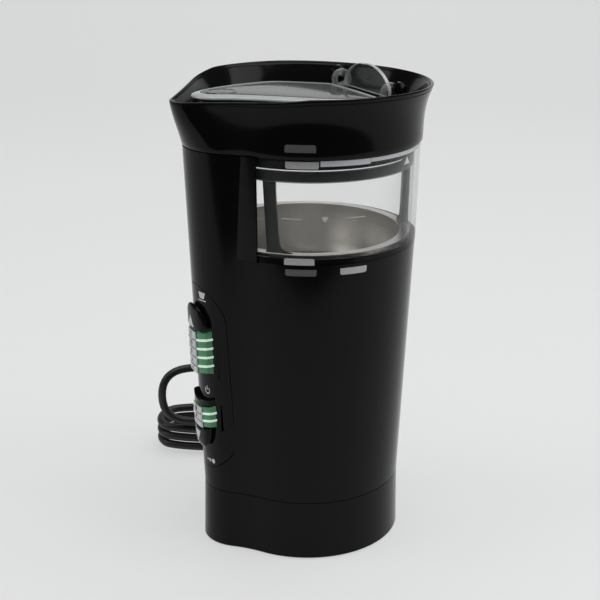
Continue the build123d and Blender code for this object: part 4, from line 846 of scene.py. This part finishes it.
def scale_patch(name, low, high, half):
    """A raised block on the column's front, with rounded edges and smiling ends."""

    def lay(a, b):
        edge = max(abs(a), abs(b))
        proud = scale_proud - 3.2 * max(0, (edge - 0.9) / 0.1) ** 2
        s = half * max(-1, min(1, a * 1.02)) if abs(a) > 0.9 else half * a
        return nose_point(s, curved(s, (low + high) / 2 + b * (high - low) / 2), proud)

    return thickened(grid_patch(name, 50, 50, lay), 0.0008, -1)


rib_section = ((-0.5, 0), (-0.5, 0.6), (-0.3, 0.92), (0, 1), (0.3, 0.92), (0.5, 0.6), (0.5, 0), (0, -0.1))


def nose_bar(z, start, stop, tall, deep, base):
    """A small rounded rib laid across the column's front, whose outer end wraps round its scale's side."""
    rings = []
    wrap = 1 if stop > start else -1
    run = [(start, -0.5)] + [(start + (stop - start) * step / 6, 0.0) for step in range(1, 7)]
    run += [(stop + 0.45 * wrap, -0.9), (stop + 0.65 * wrap, -2.4)]
    for s, dip in run:
        foot = base + dip
        rings.append([nose_point(s, curved(s, z + up * tall), foot + out * deep) for up, out in rib_section])
    return ring_skin("rib", capped(rings))


panel_half, panel_middle, panel_half_tall = 12.9, 85.8, 35.8


def panel_lay(a, b):
    """The flush black face between the scales, whose edges turn in."""
    turned_in = 0.35 * max(0, (max(abs(a), abs(b)) - 0.96) / 0.04)
    return nose_point(panel_half * a, panel_middle + panel_half_tall * b, 0.04 - turned_in)


fit(thickened(grid_patch("panel_face", 40, 80, panel_lay), 0.0003, -1), abs_gloss, "black_shell", "base")
green, shader, place = new_finish("translucent_green", IOR=1.5, Coat_Weight=0.3)
depth = noise(place, 160, 3)
mixed(depth, (0.022, 0.225, 0.070, 1), (0.045, 0.34, 0.115, 1)).into(shader, "Base Color")
(depth * 0.1 + 0.14).into(shader, "Roughness")
bumped(shader, depth, 0.6, 0.0001)
# Painted highlight: the ribs get a pale mint colour and a faint glow for the light they catch from above.
painted_highlight_rib_finish, shader, place = new_finish("rib_painted_highlight_glow", IOR=1.5, Coat_Weight=0.3, Emission_Strength=0.35)
depth = noise(place, 500, 3)
mixed(depth, (0.62, 0.92, 0.72, 1), (0.85, 1.0, 0.90, 1)).into(shader, "Base Color")
mixed(depth, (0.75, 1.0, 0.82, 1), (0.9, 1.0, 0.93, 1)).into(shader, "Emission Color")
(depth * 0.2 + 0.2).into(shader, "Roughness")
bumped(shader, depth, 0.5, 0.00004)
face_ink = print_finish("silver_face", (0.84, 0.84, 0.85), (0.74, 0.74, 0.75))
black_ink = print_finish("black_ink", (0.020, 0.020, 0.020), (0.035, 0.035, 0.035))


def nose_print(piece, middle_s, middle_z, proud):
    """Bends a flat print in millimetres round the column's front."""
    for vertex in piece.data.vertices:
        vertex.co = nose_point(middle_s + vertex.co.x, middle_z + vertex.co.y, proud + vertex.co.z)
    return piece


def digits(text, tall):
    """Plain figures as a flat mesh."""
    bpy.ops.object.select_all(action="DESELECT")
    bpy.ops.object.text_add()
    figure = bpy.context.object
    figure.data.body = text
    figure.data.size = tall
    figure.data.align_x = "CENTER"
    figure.data.align_y = "CENTER"
    figure.data.extrude = 0.04
    bpy.ops.object.convert(target="MESH")
    return bpy.context.object


face_left, thin_ink = 6.7, 0.00006
for low, high, half, values, scale, face, border in (
    (87.4, 108.8, 10.3, ("4", "6", "8", "10", "12"), "cups_strip", "cups_face", 2.8),
    (60.3, 71.4, 10.6, ("", "", ""), "grind_strip", "grind_face", 4.2),
):
    step = (high - low) / len(values)
    middle_s, face_half = (border - face_left) / 2, (border + face_left) / 2
    body = scale_patch(scale + "_light_pipe", low, high, half)
    body.data.materials.append(green)
    ribs = []
    for index in range(1, len(values)):
        for start, stop in ((-6.5, 0.3 - half), (border + 0.2, half - 0.3)):
            ribs.append(nose_bar(low + index * step, start, stop, 1.1, 0.95, rib_proud))
    for rib in ribs:
        rib.data.materials.append(painted_highlight_rib_finish)
    if not values[0]:
        cap = scale_patch("dark_cap", high + 0.1, high + 3.0, half - 0.4)
        cap.data.materials.append(abs_gloss)
        ribs.append(cap)
    fit(joined(body, *ribs), None, "strip_green", "base", scale)

    def face_lay(a, b):
        edge = max(0, (max(abs(a), abs(b)) - 0.93) / 0.07)
        z = (low + high) / 2 + b * (high - low - 0.8) / 2
        return nose_point(middle_s + face_half * a, z, face_proud - 0.4 * edge * edge)

    def line_lay(a, b):
        return nose_point(middle_s + (face_half - 0.2) * a, line_z + 0.2 * b, face_proud + 0.02)

    def dot_lay(a, b):
        r = dot_r * (b + 1) / 2
        return nose_point(middle_s + r * cos(a * pi), middle_z + r * sin(a * pi), face_proud + 0.03)

    plate = thickened(grid_patch(face + "_plate", 24, 40, face_lay), 0.0006, -1)
    plate.data.materials.append(face_ink)
    prints = []
    for index in range(1, len(values)):
        line_z = low + index * step
        prints.append(thickened(grid_patch("line", 16, 2, line_lay), thin_ink))
    for index, value in enumerate(values):
        middle_z = low + (index + 0.5) * step
        if value:
            prints.append(nose_print(digits(value, 3.2), middle_s, middle_z, face_proud + 0.04))
        else:
            dot_r = 0.5 + 0.45 * index
            prints.append(thickened(grid_patch("dot", 16, 3, dot_lay), thin_ink))
    for printed in prints:
        printed.data.materials.append(black_ink)
    fit(joined(plate, *prints), None, "face_silver", "base", face)

# --- Push buttons ----------------------------------------------------------
# Two moulded, gloss black domed keys close the scales off, one above and one
# below. Each presses a switch on the board behind it, and carries a printed
# white arrow.
key_proud = 3.0


def facing_out(piece, flipped):
    """Turns a patch's faces over where it was laid downwards."""
    if flipped:
        bpy.ops.object.mode_set(mode="EDIT")
        bpy.ops.mesh.select_all(action="SELECT")
        bpy.ops.mesh.flip_normals()
        bpy.ops.object.mode_set(mode="OBJECT")
    return piece


def button_dome(name, start, stop, half):
    """A half-round key: straight where it meets its scale, rounded at its far end."""
    tall = stop - start

    def lay(a, b):
        share = (b + 1) / 2
        width = half * sqrt(max(0.0, 1 - share**2.4)) + 0.02
        edge = max(abs(a) ** 3, share**2, max(0, (0.08 - share) / 0.08))
        lift = curved(a * width, 0) * (1 - share)
        return nose_point(a * width, start + share * tall + lift, key_proud - 1.35 * edge**3)

    return thickened(facing_out(grid_patch(name, 40, 40, lay), tall < 0), 0.0003, -1)


def button_arrow(low, tall, base_half):
    """A printed arrowhead on a key."""

    def lay(a, b):
        share = (b + 1) / 2
        return nose_point(a * base_half * (1 - share) - 0.8, low + share * tall, key_proud + 0.02)

    return thickened(facing_out(grid_patch("arrow", 8, 10, lay), tall < 0), 0.0001)


key_gloss = gloss_plastic("gloss_key", (0.0040, 0.0040, 0.0042), (0.0065, 0.0065, 0.0068), 0.12)
for name, start, stop, half in (("cups_button", 109.1, 121.7, 9.9), ("grind_button", 60.0, 49.9, 9.3)):
    dome = button_dome(name + "_key", start, stop, half)
    dome.data.materials.append(key_gloss)
    way = 1 if stop > start else -1
    arrow = button_arrow(start + way * 1.7, way * 5.6, 3.0)
    arrow.data.materials.append(white_ink)
    fit(joined(dome, arrow), None, "black_shell", name, name)

# --- Printed signs on the panel --------------------------------------------
# Small white pictures beside the keys: a cup over the amount, a switch ring
# for the stop between the scales, and growing grains below the grind.


sign_lift = 0.08


def ring_print(r, width, start=0.0, stop=2 * pi):
    def lay(a, b):
        reach, angle = r + b * width / 2, start + (a + 1) / 2 * (stop - start)
        return Vector((reach * cos(angle), reach * sin(angle), 0))

    return grid_patch("ring", 40, 2, lay)


def bar_print(x, y, width, tall, taper=0.0):
    def lay(a, b):
        return Vector((x + a * (width + b * taper) / 2, y + b * tall / 2, 0))

    return grid_patch("bar", 8, 4, lay)


cup_parts = [bar_print(0, 0.3, 3.6, 3.0, 0.9), bar_print(0, -2.1, 5.0, 0.5)]
cup_parts.append(ring_print(0.9, 0.45, -pi / 2, pi / 2))
stop_parts = [ring_print(1.6, 0.5, radians(125), radians(415)), bar_print(0, 1.3, 0.5, 2.0)]
signs = [nose_print(joined(*cup_parts), 5.2, 126.4, sign_lift)]
signs.append(nose_print(joined(*stop_parts), 5.4, 80.0, sign_lift))
for x, r in ((2.2, 0.5), (4.3, 0.8), (7.0, 1.15)):
    signs.append(nose_print(ring_print(r * 0.55, r * 0.9), x, 43.6, sign_lift))
fit(joined(*[thickened(sign, thin_ink) for sign in signs]), white_ink, "face_silver", "base")

# --- The table and the light ----------------------------------------------
# A white table that ends a hand's width in front of the grinder, with paper
# rising behind it. What lies beyond the table's edge is a dim room.
bpy.ops.object.select_all(action="DESELECT")
paper, shader, place = new_finish("white_table", Roughness=0.6)
cloudy = noise(place, 3, 3)
mixed(cloudy, (0.70, 0.705, 0.71, 1), (0.73, 0.735, 0.74, 1)).into(shader, "Base Color")
ray = cloudy.feed("LightPath")
seen = ray + ray.feed("LightPath", {}, {}, 3) + ray.feed("LightPath", {}, {}, 6)
glow = cloudy.feed("Emission", {}, {"Color": (0.85, 0.855, 0.855, 1), "Strength": 1.0})
lit = Wire(cloudy.tree, shader.outputs[0])
blend = cloudy.feed("MixShader", {}, {0: seen * 0.6, 1: lit, 2: glow})
cloudy.tree.links.new(blend.socket, cloudy.tree.nodes["Material Output"].inputs["Surface"])
view_way = Vector((0.8829, -0.4695, 0))
side_way = Vector((0.4695, 0.8829, 0))
near_edge, table_run, bend_start, bend_run, bend_r = -0.34, 2.4, 1.2, 0.5, 0.35
bpy.ops.mesh.primitive_grid_add(x_subdivisions=40, y_subdivisions=40, size=2)
table = bpy.context.object
table.name = "table"
for vertex in table.data.vertices:
    across, back = vertex.co.x, vertex.co.y
    run = near_edge + (back + 1) / 2 * table_run
    lift = 0.0
    if run > bend_start:
        bend = min(1, (run - bend_start) / bend_run)
        lift = bend_r * (1 - cos(bend * pi / 2)) + max(0, run - bend_start - bend_run) * 1.2
        run = bend_start + bend_r * sin(bend * pi / 2)
    vertex.co = side_way * across * 1.5 - view_way * run + Vector((0, 0, lift))
table.data.materials.append(paper)
bpy.ops.object.shade_smooth()

world = bpy.data.worlds.new("room")
scene.world = world
world.use_nodes = True
world.node_tree.nodes["Background"].inputs["Color"].default_value = (0.08, 0.08, 0.083, 1)
world.node_tree.nodes["Background"].inputs["Strength"].default_value = 0.5


def soft_lamp(name, at, size, power):
    lamp_data = bpy.data.lights.new(name, "AREA")
    lamp_data.shape = "RECTANGLE"
    lamp_data.size, lamp_data.size_y = size
    lamp_data.energy = power
    lamp = bpy.data.objects.new(name, lamp_data)
    aim = (Vector((0, 0, 0.1)) - Vector(at)).to_track_quat("-Z", "Y")
    lamp.matrix_world = Matrix.Translation(at) @ aim.to_matrix().to_4x4()
    scene.collection.objects.link(lamp)


soft_lamp("overhead", (0.1, 0.2, 1.6), (1.6, 1.6), 22)
soft_lamp("left", (-0.5, -1.4, 1.1), (1.0, 1.0), 8)
soft_lamp("right", (0.9, 1.2, 1.0), (1.0, 1.0), 8)
